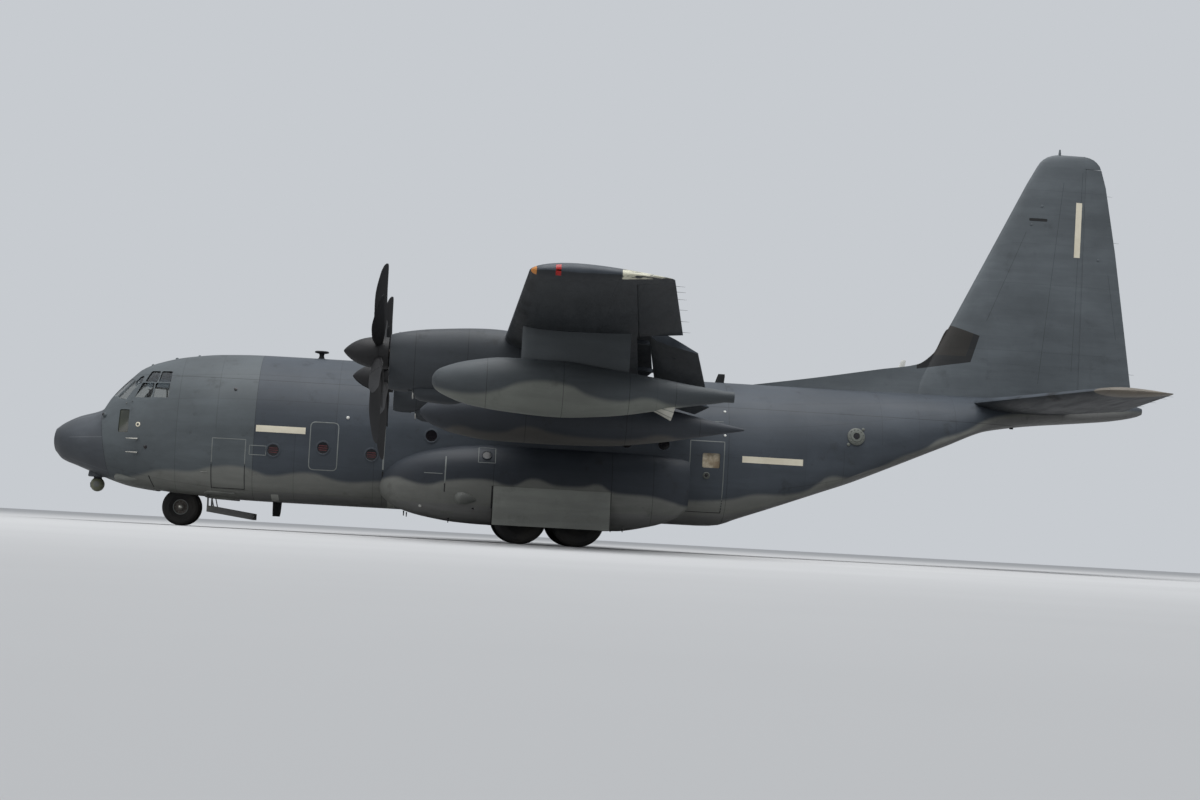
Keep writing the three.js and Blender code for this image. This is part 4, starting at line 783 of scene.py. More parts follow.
def makeHulls():
    shell = lined(hull("centreShell", [5500, 6000, *steps(6500, 17500, 22), 17800, 17999.4]),
                  hull("centreInside", [5400, 6000, *steps(6500, 17500, 11), 18100], wall["hold"]))
    for side in sides.values():
        cut(shell, block("tool", (11800, 14900), (side * 1600, side * 2700), (500, 1900)),
            block("tool", paraDoor["x"], (side * 1500, side * 2600), paraDoor["z"]))
    finish(shell, None, "upper_paint", "centre_fuselage")
    aft = lined(hull("aftShell", [18000, *steps(18200, 25000, 34), *steps(25250, 28900, 14), 29250, 29500, 29650,
                                  29730, 29775, 29790]),
                hull("aftInside", [17900, *steps(18200, 25000, 17), 25900], wall["hold"]))
    rampLine = [(17950, 1440), *below((19150, 20700, 21452), 700)[:-1], (17950, 300)]
    cut(aft, prism("tool", rampLine, "y", [-1492, 1492]))
    doorTool = prism("tool", [(21458, 1392), (25312, 832), (25312, -832), (21458, -1392)], "z", [1500, 4300])
    cut(doorTool, prism("tool", below((21458, 22560, 24000, 25312), 330), "y", [-2000, 2000]), how="INTERSECT")
    cut(aft, doorTool)
    finish(aft, None, "upper_paint", "aft_fuselage")
    panel = hull("rampPanel", [17900, 18012, *steps(18200, 21400, 24), 21440, 21600])
    cut(panel, prism("tool", below((18012, 19150, 20700, 21440), 260), "y", [-1480, 1480]), how="INTERSECT")
    finish(panel, "body", "under_paint", "cargo_ramp", body="cargo_ramp")
    upper = hull("aftDoorPanel", steps(21300, 25500, 34))
    cut(upper, prism("tool", below((21470, 22560, 24000, 25300), 120), "y", [-2000, 2000]),
        prism("tool", [(21470, 1380), (25300, 820), (25300, -820), (21470, -1380)], "z", [1500, 4300]), how="INTERSECT")
    finish(upper, "body", "under_paint", "aft_cargo_door", body="aft_cargo_door")


def makeDoors():
    door = lined(hull("crewDoorPanel", steps(4300, 5400, 12)), hull("inner", steps(4200, 5500, 12), wall["nose"]))
    cut(door, block("tool", crewDoor["x"], (-2500, -1300), crewDoor["z"]), how="INTERSECT")
    treads = []
    for z in steps(1290, 2130, 3):
        reach = skinPoint(4860, turnAt(4860, z))[1] - 40
        treads.append(painted(block("tread", (4520, 5190), (-reach, 150 - reach), (z, z + 26), 4), "gear"))
    finish(joined("crewDoorPanel", [door, *treads]), None, "upper_paint", "crew_door", body="crew_door")
    for label, side in sides.items():
        door = lined(hull(label + "JumpDoor", steps(16900, 17960, 10)),
                     hull("inner", steps(16800, 18000, 10), wall["hold"]))
        through = (side * 1500, side * 2600)
        cut(door, block("tool", (16988, 17872), through, (1121, 2982)), how="INTERSECT")
        cut(door, prism("tool", rounded(box2d(17310, 17780, 2290, 2680), 50), "y", through))
        finish(door, None, "upper_paint", label + "_paratroop_door")
        pane = rounded(box2d(17290, 17800, 2270, 2700), 60)
        # the pane is opaque, and its tones are a painted reflection
        finish(prism(label + "JumpDoorPane", pane, "y", [side * 2070, side * 2088]), "doorPaneReflection", "glazing")


makeNose()
print("nose made")
makeHulls()
makeDoors()
print("fuselage made")

# Wing
wing = {"rootChord": 4880, "tipChord": 2650, "centreHalf": 5560, "tipY": 20205, "rootX": 11630, "tipX": 11880,
        "rootZ": 4450, "dihedral": 2.5, "incidence": 3, "thick": 0.18, "thin": 2 / 3}
rise = (wing["tipY"] - wing["centreHalf"]) * math.tan(math.radians(wing["dihedral"]))
wingEnds = [(wing["rootX"], wing["rootZ"], wing["rootChord"], wing["incidence"], 1),
            (wing["tipX"], wing["rootZ"] + rise, wing["tipChord"], 0, wing["thin"])]
flapPivot, flapRest = (0.74, -0.4), 18  # shares of the chord; degrees down
flapEnds = {"inner": (2300, 5480), "outer": (5700, 13330)}
aileronEnds, aileronHinge, aileronCamber = (13480, 19560), 0.755, 0.011


def foilHeight(u):
    t = 5 * wing["thick"] * (0.2969 * math.sqrt(u) - 0.126 * u - 0.3516 * u ** 2 + 0.2843 * u ** 3 - 0.1036 * u ** 4)
    camber = (0.02 / 0.16) * (0.8 * u - u * u) if u < 0.4 else (0.02 / 0.36) * (0.2 + 0.8 * u - u * u)
    return camber + t, camber - t


def foil(count=26):
    us = [(1 - math.cos(math.pi * i / count)) / 2 for i in range(count + 1)]
    upper = [(u, foilHeight(u)[0] + (0.0018 if u > 0.999 else 0)) for u in us]
    lower = [(u, foilHeight(u)[1] - (0.0018 if u > 0.999 else 0)) for u in us[:0:-1]]
    return upper + lower


def onWing(y, point, side=1):
    u, v = point
    share = max(0, (y - wing["centreHalf"]) / (wing["tipY"] - wing["centreHalf"]))
    ends = []
    for x, z, chord, angle, thin in wingEnds:
        turn = math.radians(angle)
        ends.append((x + chord * (u * math.cos(turn) + v * thin * math.sin(turn)),
                     z + chord * (v * thin * math.cos(turn) - u * math.sin(turn))))
    (x0, z0), (x1, z1) = ends
    return x0 + share * (x1 - x0), side * y, z0 + share * (z1 - z0)


def alongWing(name, side, ys, section):
    return loft(name, [[onWing(y, p, side) for p in section] for y in ys])


flapCove = [(0.67, -0.024), (0.733, -0.024), (0.733, -0.3), (1.2, -0.3), (1.2, 0.3), (0.806, 0.3), (0.8, 0.043),
            (0.67, 0.06)]
flapSection = [(0.6853, 0.0125), (0.688, 0.0185), (0.6925, 0.0235), (0.7, 0.028), (0.71, 0.0315), (0.724, 0.0347),
               (0.74, 0.036), (0.77, 0.0365), (0.81, 0.0345), (0.85, 0.03), (0.9, 0.0215), (0.95, 0.0115), (1, 0.002),
               (1, -0.002), (0.95, -0.0092), (0.9, -0.0155), (0.85, -0.0205), (0.81, -0.0245), (0.77, -0.0275),
               (0.745, -0.026), (0.72, -0.0175), (0.7, -0.004), (0.69, 0.0045)]


def flapFrame(side, which):
    a, b = (Vector(onWing(y, flapPivot, side)) for y in flapEnds[which])
    axis = (b - a).normalized()
    aft = (Vector((1, 0, 0)) - axis * axis.x).normalized()
    return a, axis, aft, aft.cross(axis) * side


def flapTrack(name, side, which, y, first, last, half=22, room=0):
    start, axis, aft, up = flapFrame(side, which)
    near = Vector(onWing(y, (0.72, 0.01), side)) - start
    centre = start + axis * near.dot(axis)
    radius = (near - axis * near.dot(axis)).length
    angles = [math.radians(a) for a in steps(first, last, 12)]
    outline = [(a, radius - 45 - room) for a in angles] + [(a, radius + 40 + room) for a in reversed(angles)]
    return loft(name, [[centre + axis * along + aft * r * math.sin(a) + up * r * math.cos(a) for a, r in outline]
                       for along in (-half, half)])


flapTracks = {"inner": (3000, 4900), "outer": (7300, 11700)}
tipRows = [(19900, 1, 1), (19990, 0.985, 0.93), (20060, 0.955, 0.83), (20120, 0.91, 0.68), (20165, 0.85, 0.5),
           (20192, 0.77, 0.33), (20205, 0.66, 0.14)]


def tipRings(side, section, rows):
    return [[onWing(y, (0.5 + (u - 0.5) * long, v * thick), side) for u, v in section] for y, long, thick in rows]


def halfRound(radius, count=12):
    angles = [math.pi * (0.5 + i / count) for i in range(count + 1)]
    return [(radius * math.cos(a), radius * math.sin(a)) for a in angles]


def surfaceSection(radius, chord):
    below = [(chord * s, -radius + (radius - 6) * s) for s in (0.33, 0.66, 1)]
    above = [(chord * s, radius - (radius - 6) * s) for s in (1, 0.66, 0.33)]
    return halfRound(radius) + below + above


def coveSection(radius, chord):
    return [(0, 900), *halfRound(radius + 14), (0, -900), (3500, -900), (3500, 900)]


def aileronRing(side, y, section):
    share = (y - wing["centreHalf"]) / (wing["tipY"] - wing["centreHalf"])
    chord = wingEnds[0][2] + share * (wingEnds[1][2] - wingEnds[0][2])
    thin = 1 + share * (wing["thin"] - 1)
    radius = (foilHeight(aileronHinge)[0] - aileronCamber) * 0.93 * chord * thin
    return [onWing(y, (aileronHinge + a / chord, aileronCamber * (1 - a / chord / 0.3) + b / chord / thin), side)
            for a, b in section(radius, (1 - aileronHinge) * chord)]


def flapRings(side, which):  # the flap as the photograph shows it, turned down from its place in the wing
    y0, y1 = flapEnds[which]
    start, axis = flapFrame(side, which)[:2]
    turn = Matrix.Translation(start) @ Matrix.Rotation(math.radians(flapRest * side), 4, axis) \
        @ Matrix.Translation(-start)
    lines = []
    for p in flapSection:
        ends = [Vector(onWing(y, p, side)) for y in (y0, y1)]
        if which == "outer":  # its ends are square to its own axis
            a, b = Vector(onWing(y0 - 300, p, side)), Vector(onWing(y1 + 300, p, side))
            ends = [a + (b - a) * ((Vector(onWing(y, (0.7, 0), side)) - a).dot(axis) / (b - a).dot(axis))
                    for y in (y0, y1)]
        lines.append(ends)
    return [[turn @ (a + (b - a) * share) for a, b in lines] for share in steps(0, 1, 10)]


def makeWing():
    section = foil()
    centre = loft("centreWingSkin", [[(onWing(0, p)[0], y, onWing(0, p)[2]) for p in section]
                                     for y in steps(-5560, 5560, 12)])
    cut(centre, *[alongWing("tool", side, [2260, 5600], flapCove) for side in sides.values()])
    arms = [flapTrack("arm", side, "inner", y, -13, 20) for side in sides.values() for y in flapTracks["inner"]]
    finish(joined("centreWingSkin", [centre, *arms]), "wing", "wing_paint", "centre_wing")
    for label, side in sides.items():
        rows = [[onWing(y, p, side) for p in section] for y in [5560.6, *steps(6500, 19500, 13)]]
        outer = loft(label + "WingSkin", rows + tipRings(side, section, tipRows))
        cut(outer, alongWing("tool", side, [5520, 13440], flapCove),
            loft("tool", [aileronRing(side, y, coveSection) for y in (13440, 19572)]))
        arms = [flapTrack("arm", side, "outer", y, -13, 20) for y in flapTracks["outer"]]
        finish(joined(label + "WingSkin", [outer, *arms]), "wing", "wing_paint", label + "_outer_wing")
        tab = loft(label + "AileronSkin", [aileronRing(side, y, surfaceSection) for y in steps(*aileronEnds, 8)])
        finish(tab, "wing", "wing_paint", label + "_aileron", body=label + "_aileron")
        for which in flapEnds:
            flap = loft(f"{label}{which.capitalize()}FlapSkin", flapRings(side, which))
            for y in flapTracks[which]:
                cut(flap, flapTrack("tool", side, which, y, 4, 40, 26, 12))
            finish(flap, "wing", "wing_paint", f"{label}_{which}_flap", body=f"{label}_{which}_flap")


makeWing()
print("wing made")

# Tail
finRows = [[4500, 23150, 29570, 330], [6700, 24280, 29230, 270], [9000, 25400, 28870, 195], [11000, 26370, 28500, 130],
           [11330, 26560, 28380, 115]]
finCap = [[11330, 26560, 28380, 115], [11440, 26630, 28330, 106], [11530, 26720, 28250, 92], [11600, 26830, 28160, 72],
          [11650, 26960, 28040, 48], [11680, 27100, 27900, 20]]
finFoil = [[0, 0], [0.008, 0.2], [0.03, 0.4], [0.12, 0.76], [0.32, 1], [0.6, 0.78], [1, 0.04]]
finHinge, rudderEnds = 27960, (4870, 11290)
tailZ, elevatorHinge, elevatorEnds = 4520, 27500, (1000, 7260)
tailRows = [[345, 24750, 29060, 235], [7300, 26220, 28150, 120]]
tailTip = [[7300, 26220, 28150, 120], [7550, 26275, 28118, 114], [7750, 26320, 28090, 103], [7880, 26375, 28050, 86],
           [7960, 26440, 28000, 66], [8005, 26530, 27930, 42], [8025, 26650, 27850, 16]]
foilCurve = curveThrough(finFoil)


def slimFoil(count=20):
    us = [(1 - math.cos(math.pi * i / count)) / 2 for i in range(count + 1)]
    half = [(u, foilCurve(u)[0] if u > 0 else 0) for u in us]
    return half + [(u, -v) for u, v in half[:0:-1]]


def rowAt(rows, z):
    i = max(1, next((i for i, row in enumerate(rows) if row[0] >= z), len(rows) - 1))
    a, b = rows[i - 1], rows[i]
    return [p + (z - a[0]) / (b[0] - a[0]) * (q - p) for p, q in zip(a, b)]


def halfAt(row, x):
    return row[3] * foilCurve(min(1, max(0, (x - row[1]) / (row[2] - row[1]))))[0]


def rudderRing(z, section):
    row = rowAt(finRows, z)
    return [(finHinge + a, b, z) for a, b in section(halfAt(row, finHinge) - 2, row[2] - finHinge)]


def elevatorRing(side, y, section):
    row = rowAt(tailRows, y)
    return [(elevatorHinge + a, side * y, tailZ + b)
            for a, b in section(halfAt(row, elevatorHinge) - 2, row[2] - elevatorHinge)]


def makeTail():
    section = slimFoil()
    rows = [rowAt(finRows, z) for z in steps(4500, 11300, 14)] + finCap
    blade = loft("finSkin", [[(x0 + u * (x1 - x0), v * half, z) for u, v in section] for z, x0, x1, half in rows])
    rings = [rudderRing(z, coveSection) for z in steps(*rudderEnds, 14)]
    cove = loft("tool", [[(x, y, 4400) for x, y, _ in rings[0]], *rings, [(x, y, 11330) for x, y, _ in rings[-1]]])
    cut(blade, cove)
    crest = curveThrough([[18750, 4710, 40], [20500, 5010, 110], [22400, 5370, 180], [23400, 5560, 205],
                          [23850, 5900, 180], [24240, 6610, 140], [24900, 6620, 120]])
    rings = []
    for x in [*steps(18750, 23400, 20), *steps(23500, 24240, 12), 24900]:
        top, half = crest(x)
        edge = 22 if x < 23400 else 22 - 16 * min(1, (x - 23400) / 600)
        flare = [(half * (1 - s) ** 1.5 + edge * s, 4350 + (top - 4350) * s) for s in steps(0, 1, 12)]
        rings.append([(x, -y, z) for y, z in flare] + [(x, y, z) for y, z in flare[::-1]])
    mast = turned("mast", (27180, 0, 11600), upward, [(36, 0), (36, 150), (28, 160), (26, 225), (12, 240)], 20)
    finish(joined("finSkin", [blade, mast, loft("dorsal", rings)]), "fin", "upper_paint", "fin")
    rudder = loft("rudderSkin", [rudderRing(z, surfaceSection) for z in [*steps(*rudderEnds, 14), 11318]])
    finish(rudder, "fin", "upper_paint", "rudder", body="rudder")
    for label, side in sides.items():
        rows = [rowAt(tailRows, y) for y in steps(345, 7200, 10)] + tailTip
        plane = loft(label + "TailSkin", [[(x0 + u * (x1 - x0), side * y, tailZ + v * half) for u, v in section]
                                          for y, x0, x1, half in rows])
        cut(plane, loft("tool", [elevatorRing(side, y, coveSection) for y in (200, elevatorEnds[1] + 12)]))
        finish(plane, "wing", "wing_paint", label + "_tailplane")
        flap = loft(label + "ElevatorSkin", [elevatorRing(side, y, surfaceSection) for y in steps(*elevatorEnds, 10)])
        finish(flap, "wing", "wing_paint", label + "_elevator", body="elevators")


makeTail()
print("tail made")

# Engines
nacelleRows = [[9150, 430, -800, 400], [9300, 480, -840, 450], [10100, 610, -830, 550], [11400, 690, -740, 590],
               [12400, 600, -620, 560], [13300, 420, -430, 480], [14150, 150, -200, 330]]
coolerRows = [[9700, -700, -930, 230], [9850, -640, -1030, 290], [10500, -600, -1080, 300], [11400, -600, -800, 120]]
engines = {"left_outer": (-10160, 4180), "left_inner": (-4940, 3980), "right_inner": (4940, 3980),
           "right_outer": (10160, 4180)}
propX, exhaustWay = 8900, (1050, 0, -140)


def podRings(rows, y, z, stations, square=2, count=56):
    table = curveThrough(rows)
    corners = [squircle(2 * math.pi * i / count, square) for i in range(count)]
    rings = []
    for x in stations:
        top, bottom, half = table(x)
        rings.append([(x, y + half * a, z + (top + bottom) / 2 + (top - bottom) / 2 * b) for a, b in corners])
    return rings


def mouthRing(name, x, top, bottom, half, thick, square=2.4, count=64):
    rings = []
    for i in range(count + 1):
        a, b = squircle(2 * math.pi * i / count, square)
        centre = Vector((x, half * a, (top + bottom) / 2 + (top - bottom) / 2 * b))
        out = Vector((0, a / half, b * 2 / (top - bottom))).normalized()
        rings.append([centre + out * math.cos(t) * thick + Vector((math.sin(t) * thick, 0, 0))
                      for t in [2 * math.pi * k / 10 for k in range(10)]])
    return outward(loft(name, rings, ends="NOTHING"), merge=0.00002)


def ductLoft(name, front, back, top, bottom, half):  # a straight length of the intake's section
    rows = [[front, top, bottom, half], [front + 2, top, bottom, half]]
    return loft(name, podRings(rows, 0, 0, [front, back], 2.4, 40))


def makeNacelle():
    body = loft("nacelle", podRings(nacelleRows, 0, 0, [9150, 9165, 9190, *steps(9230, 14100, 34), 14150], 2.4))
    cut(body, loft("scoop", podRings(coolerRows, 0, 0, [9700, 9715, 9740, *steps(9780, 11400, 16)], 2.4, 40)),
        turned("pipe", (12600, 0, -380), exhaustWay, [(188, 0), (190, 8), (190, 1000), (186, 1059)], 32), how="UNION")
    cut(body, turned("tool", (9000, 0, 0), aftward, [(160, 0), (160, 300)]),
        loft("tool", podRings([[9100, -420, -720, 300], [9600, -380, -640, 250]], 0, 0, [9100, 9600], 2.4, 40)),
        ductLoft("tool", 9600, 9780, -720, -980, 200),
        turned("tool", (13350, 0, -480), (450, 0, -60), [(160, 0), (160, 454)], 32),
        turned("tool", (9260, 0, 0), aftward, [(400, 0), (400, 2240)]))
    body.data.materials.clear()
    parts = {
        "nacelle": [body],
        "lip": [mouthRing("lip", 9166, -414, -718, 300, 19), mouthRing("lip", 9714, -712, -986, 206, 17)],
        "seam": [ductLoft("duct", 9330, 9342, -402, -690, 285), ductLoft("duct", 9750, 9760, -720, -976, 196),
                 bar("drain", (11060, 60, -880), (11120, 60, -1010), 16, 12, 12)],
        "engine": [hoop("rim", (13645, 0, -520), exhaustWay, [
            (150, -18), (188, -18), (188, 2), (180, 8), (150, 2)], 40)],
    }
    return joined("nacelle", [painted(obj, key) for key, group in parts.items() for obj in group])


def bladeRing(r, chord, half, pitch, sweep, count=20):
    turn = math.radians(pitch)
    ring = []
    for i in range(count):
        t = 2 * math.pi * i / count
        u, v = math.cos(t) / 2, math.sin(t)
        v *= (0.95 if v > 0 else 0.6) * (1.15 - 0.3 * u)
        along, over = u * chord + sweep, -v * half
        ring.append((along * math.sin(turn) + over * math.cos(turn), along * math.cos(turn) - over * math.sin(turn), r))
    return ring


def makePropeller():
    bladeAt = curveThrough([[250, 150, 62, 62, 0], [420, 210, 50, 59, -5], [700, 330, 36, 53, -20],
                            [1300, 410, 19, 40, -45], [1800, 320, 9, 32, 20], [2000, 190, 5, 30, 90],
                            [2055, 80, 4, 29, 130]])
    rings = [bladeRing(r, *bladeAt(r)) for r in [*steps(250, 1950, 17), 1990, 2020, 2040, 2055]]
    sleeve = [bladeRing(r, *[v * g for v, g in zip(bladeAt(r), (1.03, 1.12, 1, 1))]) for r in steps(400, 900, 6)]
    blades = [loft("blade", rings), loft("bladeBoot", sleeve)]
    for obj in blades:
        obj.data.transform(Matrix.Translation((midX * mm, 0, 0)))
    for i in range(1, 6):
        blades += [copied(obj, obj.name, Matrix.Rotation(math.radians(60 * i), 4, "X")) for obj in blades[:2]]
    bore = 93
    profile = [(3, -800), (18, -796), (42, -780), (78, -748), (124, -700), (178, -632), (230, -550), (276, -455),
               (312, -352), (338, -240), (352, -120), (358, 0), (360, 90), (360, 215), (bore, 215), (bore, -205),
               (2, -205)]
    hub = turned("hub", (midX, 0, 0), aftward, profile, 48)
    rim = hoop("rim", (midX, 0, 0), aftward, [(360, -30), (366, -26), (366, -14), (360, -10)], 48)
    return joined("propeller", [hub, rim, *blades])


def makeEngines():
    nacelle, propeller = makeNacelle(), makePropeller()
    for label, (y, z) in engines.items():
        word = "".join(part.capitalize() for part in label.split("_"))
        pod = copied(nacelle, "nacelle" + word, Matrix.Translation((0, y * mm, z * mm)))
        finish(pod, None, "upper_paint", label + "_nacelle")
        disc = copied(propeller, "propeller" + word, Matrix.Translation(((propX - midX) * mm, y * mm, z * mm)))
        finish(disc, "black", "blade_black", label + "_propeller", body=label + "_propeller")
    drop(nacelle, propeller)


makeEngines()
print("engines made")

# Tanks and hose pods
tankRows = [[9860, 60, -60, 60], [9960, 165, -165, 165], [10100, 270, -270, 270], [10700, 480, -480, 480],
            [11600, 600, -600, 600], [13000, 615, -615, 615], [14300, 580, -580, 580], [15500, 440, -440, 440],
            [16700, 210, -210, 210], [17650, 25, -25, 25]]
podRows = [[10160, 70, -70, 70], [10210, 165, -165, 165], [10330, 260, -260, 260], [10900, 450, -470, 460],
           [11700, 560, -580, 570], [12800, 560, -640, 590], [13900, 440, -560, 500], [15000, 300, -370, 320],
           [15650, 205, -240, 225], [16290, 135, -135, 135], [16340, 120, -120, 120], [16550, 118, -118, 118]]


def makeStore(name, rows, y, z, pylon, material, node):
    front, back = rows[0][0], rows[-1][0]
    stations = [front, *[front + s for s in (20, 50, 90, 150, 220)], *steps(front + 320, back, 30)]
    parts = [painted(loft(name, podRings(rows, y, z, stations, 2, 48)), material)]
    top = onWing(abs(y), (0, 0))[2] - 35
    web = loft("web", [[(pylon[0] + u * (pylon[1] - pylon[0]), y + v * 105, height) for u, v in slimFoil(14)]
                       for height in (z + 250, top)])
    cut(web, alongWing("tool", math.copysign(1, y), [abs(y) - 400, abs(y) + 400], foil()))
    web.data.materials.clear()
    parts.append(painted(web, "pylon"))
    if material == "pod":  # the hose's drogue
        start, end = Vector((14640, y, z - 240)), Vector((15270, y, z - 400))
        long = (end - start).length
        parts.append(painted(turned("funnel", start, end - start, [
            (80, 0), (86, long * 0.3), (112, long * 0.55), (150, long * 0.78), (180, long), (168, long + 1),
            (140, long - 120), (100, long - 250), (3, long - 260)], 40), "drogue"))
        _, one, two = axes(end - start)
        for turn in (2 * math.pi * t / 8 for t in range(8)):
            out = one * math.cos(turn) + two * math.sin(turn)
            parts.append(painted(bar("rib", start + (end - start) * 0.32 + out * 88, end + out * 176, 7, 8), "gear"))
    finish(joined(name, parts), None, "under_paint", node)


for label, side in sides.items():
    makeStore(label + "Tank", tankRows, side * 7550, 3050, (11860, 15000), "tank", label + "_fuel_tank")
    makeStore(label + "HosePod", podRows, side * 13850, 3390, (12000, 14300), "pod", label + "_hose_pod")
print("stores made")

# Wheel fairings and gear
sponsonRows = [[8760, 1480, 1340, 1800], [8800, 1590, 1240, 1890], [8950, 1850, 1020, 2130], [9400, 2180, 760, 2380],
               [10150, 2430, 590, 2560], [10900, 2550, 500, 2650], [11700, 2610, 470, 2690], [15000, 2610, 470, 2690],
               [16000, 2600, 640, 2600], [16700, 2590, 900, 2420], [17150, 2560, 1300, 2200]]


def makeSponson():
    stations = [8760, 8775, 8800, 8850, 8900, *steps(8950, 11700, 22), *steps(12000, 15000, 6),
                *steps(15200, 17150, 14)]
    halfRows = [[x, top, bottom, outer - 1650] for x, top, bottom, outer in sponsonRows]
    shell = loft("sponson", podRings(halfRows, 1650, 0, stations, 2.7, 64))
    return cut(shell, hull("tool", steps(8000, 17995, 20), -1),
               block("tool", (11800, 14900), (1200, 2560), (300, 1900)),
               block("tool", (11800, 14900), (1200, 3000), (300, 1480)),
               block("tool", paraDoor["x"], (1500, 2700), paraDoor["z"]))


def makeTyre(radius, width, rim, centre):
    half = width / 2
    section = [(rim, -half * 0.55), (rim * 1.1, -half * 0.72)]
    section += [(radius * r, -half * d) for r, d in (
        (0.6, 0.9), (0.62, 0.95), (0.65, 0.93), (0.75, 0.99), (0.83, 1), (0.85, 0.96), (0.9, 0.92), (0.95, 0.84),
        (0.985, 0.66))]
    tread = []
    for place in (-0.5, -0.18, 0.18, 0.5):
        middle = half * place
        crown = radius if abs(place) < 0.2 else radius * 0.997
        tread += [(crown, middle - 14), (crown - 10, middle - 11), (crown - 10, middle + 11), (crown, middle + 14)]
    bead = [(rim - 14, half * 0.45), (rim - 14, -half * 0.45)]
    return hoop("tyre", centre, (0, 1, 0), section + tread + [(r, -d) for r, d in section[::-1]] + bead, 72)


def makeWheel(radius, width, rim, bore, y, x, side):
    z, out, axle = radius, width / 4, (0, side, 0)
    disc = hoop("hub", (x, y, z), axle, [
        (rim - 2, -out), (rim - 2, out * 1.1), (rim - 16, out * 1.12), (rim - 34, out * 0.62), (rim * 0.62, out * 0.42),
        (rim * 0.48, out * 0.5), (rim * 0.42, out * 0.95), (bore + 24, out * 1.02), (bore, out * 0.98), (bore, -out),
        (rim * 0.4, -out), (rim * 0.6, -out * 0.4), (rim - 30, -out * 0.5)], 48)
    # a real flange round the rim; its pale paint is a painted highlight along the edge
    ring = hoop("rimRingPaintedHighlight", (x, y, z), axle, [(rim - 4, out * 1.06), (rim + 6, out * 1.1), (rim + 2, out * 1.26),
                                             (rim - 14, out * 1.2)], 48)
    bolts = [turned("bolt", (x + rim * 0.72, y + side * out * 0.44, z), axle, [(11, 0), (11, 20), (6, 26)], 6)]
    centre = Matrix.Translation(spot(x, y, z))
    for i in range(1, 10):
        turn = centre @ Matrix.Rotation(math.radians(36 * i), 4, "Y") @ centre.inverted()
        bolts.append(copied(bolts[0], "bolt", turn))
    return {"rubber": [makeTyre(radius, width, rim, (x, y, z))], "rim": [disc], "line": [ring], "gear": bolts}


flatTo = math.cos(math.pi / 20)
mainZ, noseZ = 716 * flatTo, 500 * flatTo


def makeGear():
    sponson = makeSponson()
    for label, move in (("right", None), ("left", mirrorY)):
        # the fairings' dark upper tone is a painted shadow of the wing
        finish(copied(sponson, label + "Fairing", move), "sponson", "fairing_paint", label + "_wheel_fairing")
    drop(sponson)
    for label, side in sides.items():
        for where, x in (("front", 12560), ("rear", 14080)):
            node = f"{label}_{where}_main_wheel"
            assembled(f"{label}{where.capitalize()}Wheel", makeWheel(mainZ, 500, 240, 88, side * 2170, x, side),
                      "tyre_rubber", node, body=node)
        assembled(label + "NoseWheel", makeWheel(noseZ, 330, 200, 68, side * 300, 3520, side),
                  "tyre_rubber", label + "_nose_wheel", body="nose_wheels")
        outline = [(2640, 1474), (2685, 1478), (2720, 1250), (2745, 1120), (2760, 1000), (2757, 800), (2750, 470),
                   (2700, 470), (2707, 800), (2710, 1000), (2697, 1120), (2670, 1230)]
        parts = [prism("door", [(y * side, z) for y, z in outline], "x", steps(11815, 14885, 6))]
        for at in (12315, 14385):
            parts += [block("arm", (at - 40, at + 40), (side * 2490, side * 2559), (1500, 1600), 8),
                      bar("arm", (at, side * 2520, 1560), (at, side * 2520, 1380), 30),
                      bar("arm", (at, side * 2510, 1395), (at, side * 2680, 1240), 30)]
        finish(joined(label + "GearDoorSkin", parts), "gearDoor", "fairing_paint", label + "_main_gear_door")


makeGear()
print("gear made")

# Struts, sensor ball, flight deck and hold


def bent(name, points, radius, count=20):  # a chain of round bars with ball joints
    ball = [(2, -radius), (radius * 0.7, -radius * 0.7), (radius, 0), (radius * 0.7, radius * 0.7), (2, radius)]
    return [bar(name, a, b, radius, count, soft=0.02) for a, b in zip(points, points[1:])] \
        + [turned(name, p, upward, ball, count) for p in points[1:-1]]


clipped = [(-1, -0.7), (-0.7, -1), (0.7, -1), (1, -0.7), (1, 0.7), (0.7, 1), (-0.7, 1), (-1, 0.7)]


def link(name, start, end, half, wide):  # a flat forged link with eyes at its ends
    a, b = Vector(start), Vector(end)
    across = Vector((0, 1, 0))
    out = (b - a).cross(across).normalized()
    rings = []
    for share, size in ((0, 0.55), (0.04, 0.9), (0.12, 1), (0.3, 0.72), (0.7, 0.6), (0.88, 0.85), (0.96, 0.75),
                        (1, 0.45)):
        rings.append([a + (b - a) * share + across * wide * size * x + out * half * y for x, y in clipped])
    return loft(name, rings)


mainLeg = {
    "leg": [(60, 0), (72, 14), (72, 540)],
    "sleeve": [(84, 0), (108, 6), (112, 60), (98, 70), (98, 520), (110, 530), (110, 610), (96, 620), (96, 779)],
    "foot": [(60, 0), (96, 16), (104, 60), (104, 250), (84, 280)], "nut": [(60, -4), (60, 10), (40, 22), (3, 24)],
    "brake": [(88, 0), (170, 6), (176, 20), (176, 60)],
    "eye": [(26, -34), (66, -34), (70, -28), (70, 28), (66, 34), (26, 34)],
}
noseLeg = {
    "leg": [(112, 0), (128, 10), (130, 80), (118, 90), (118, 560), (130, 570), (130, 640), (118, 650), (118, 836)],
    "piston": [(88, 0), (88, 470)], "collar": [(100, 0), (148, 10), (150, 30), (150, 100), (140, 128), (100, 129)],
    "foot": [(50, 0), (92, 14), (104, 60), (104, 190), (90, 230)], "towEye": [(20, -18), (44, -18), (44, 18), (20, 18)],
    "nut": [(50, 0), (50, 30), (34, 40), (3, 42)], "lamp": [(36, -24), (52, -10), (52, 14), (46, 18)],
    "lens": [(45, 10), (45, 17), (24, 22), (2, 23)],
}


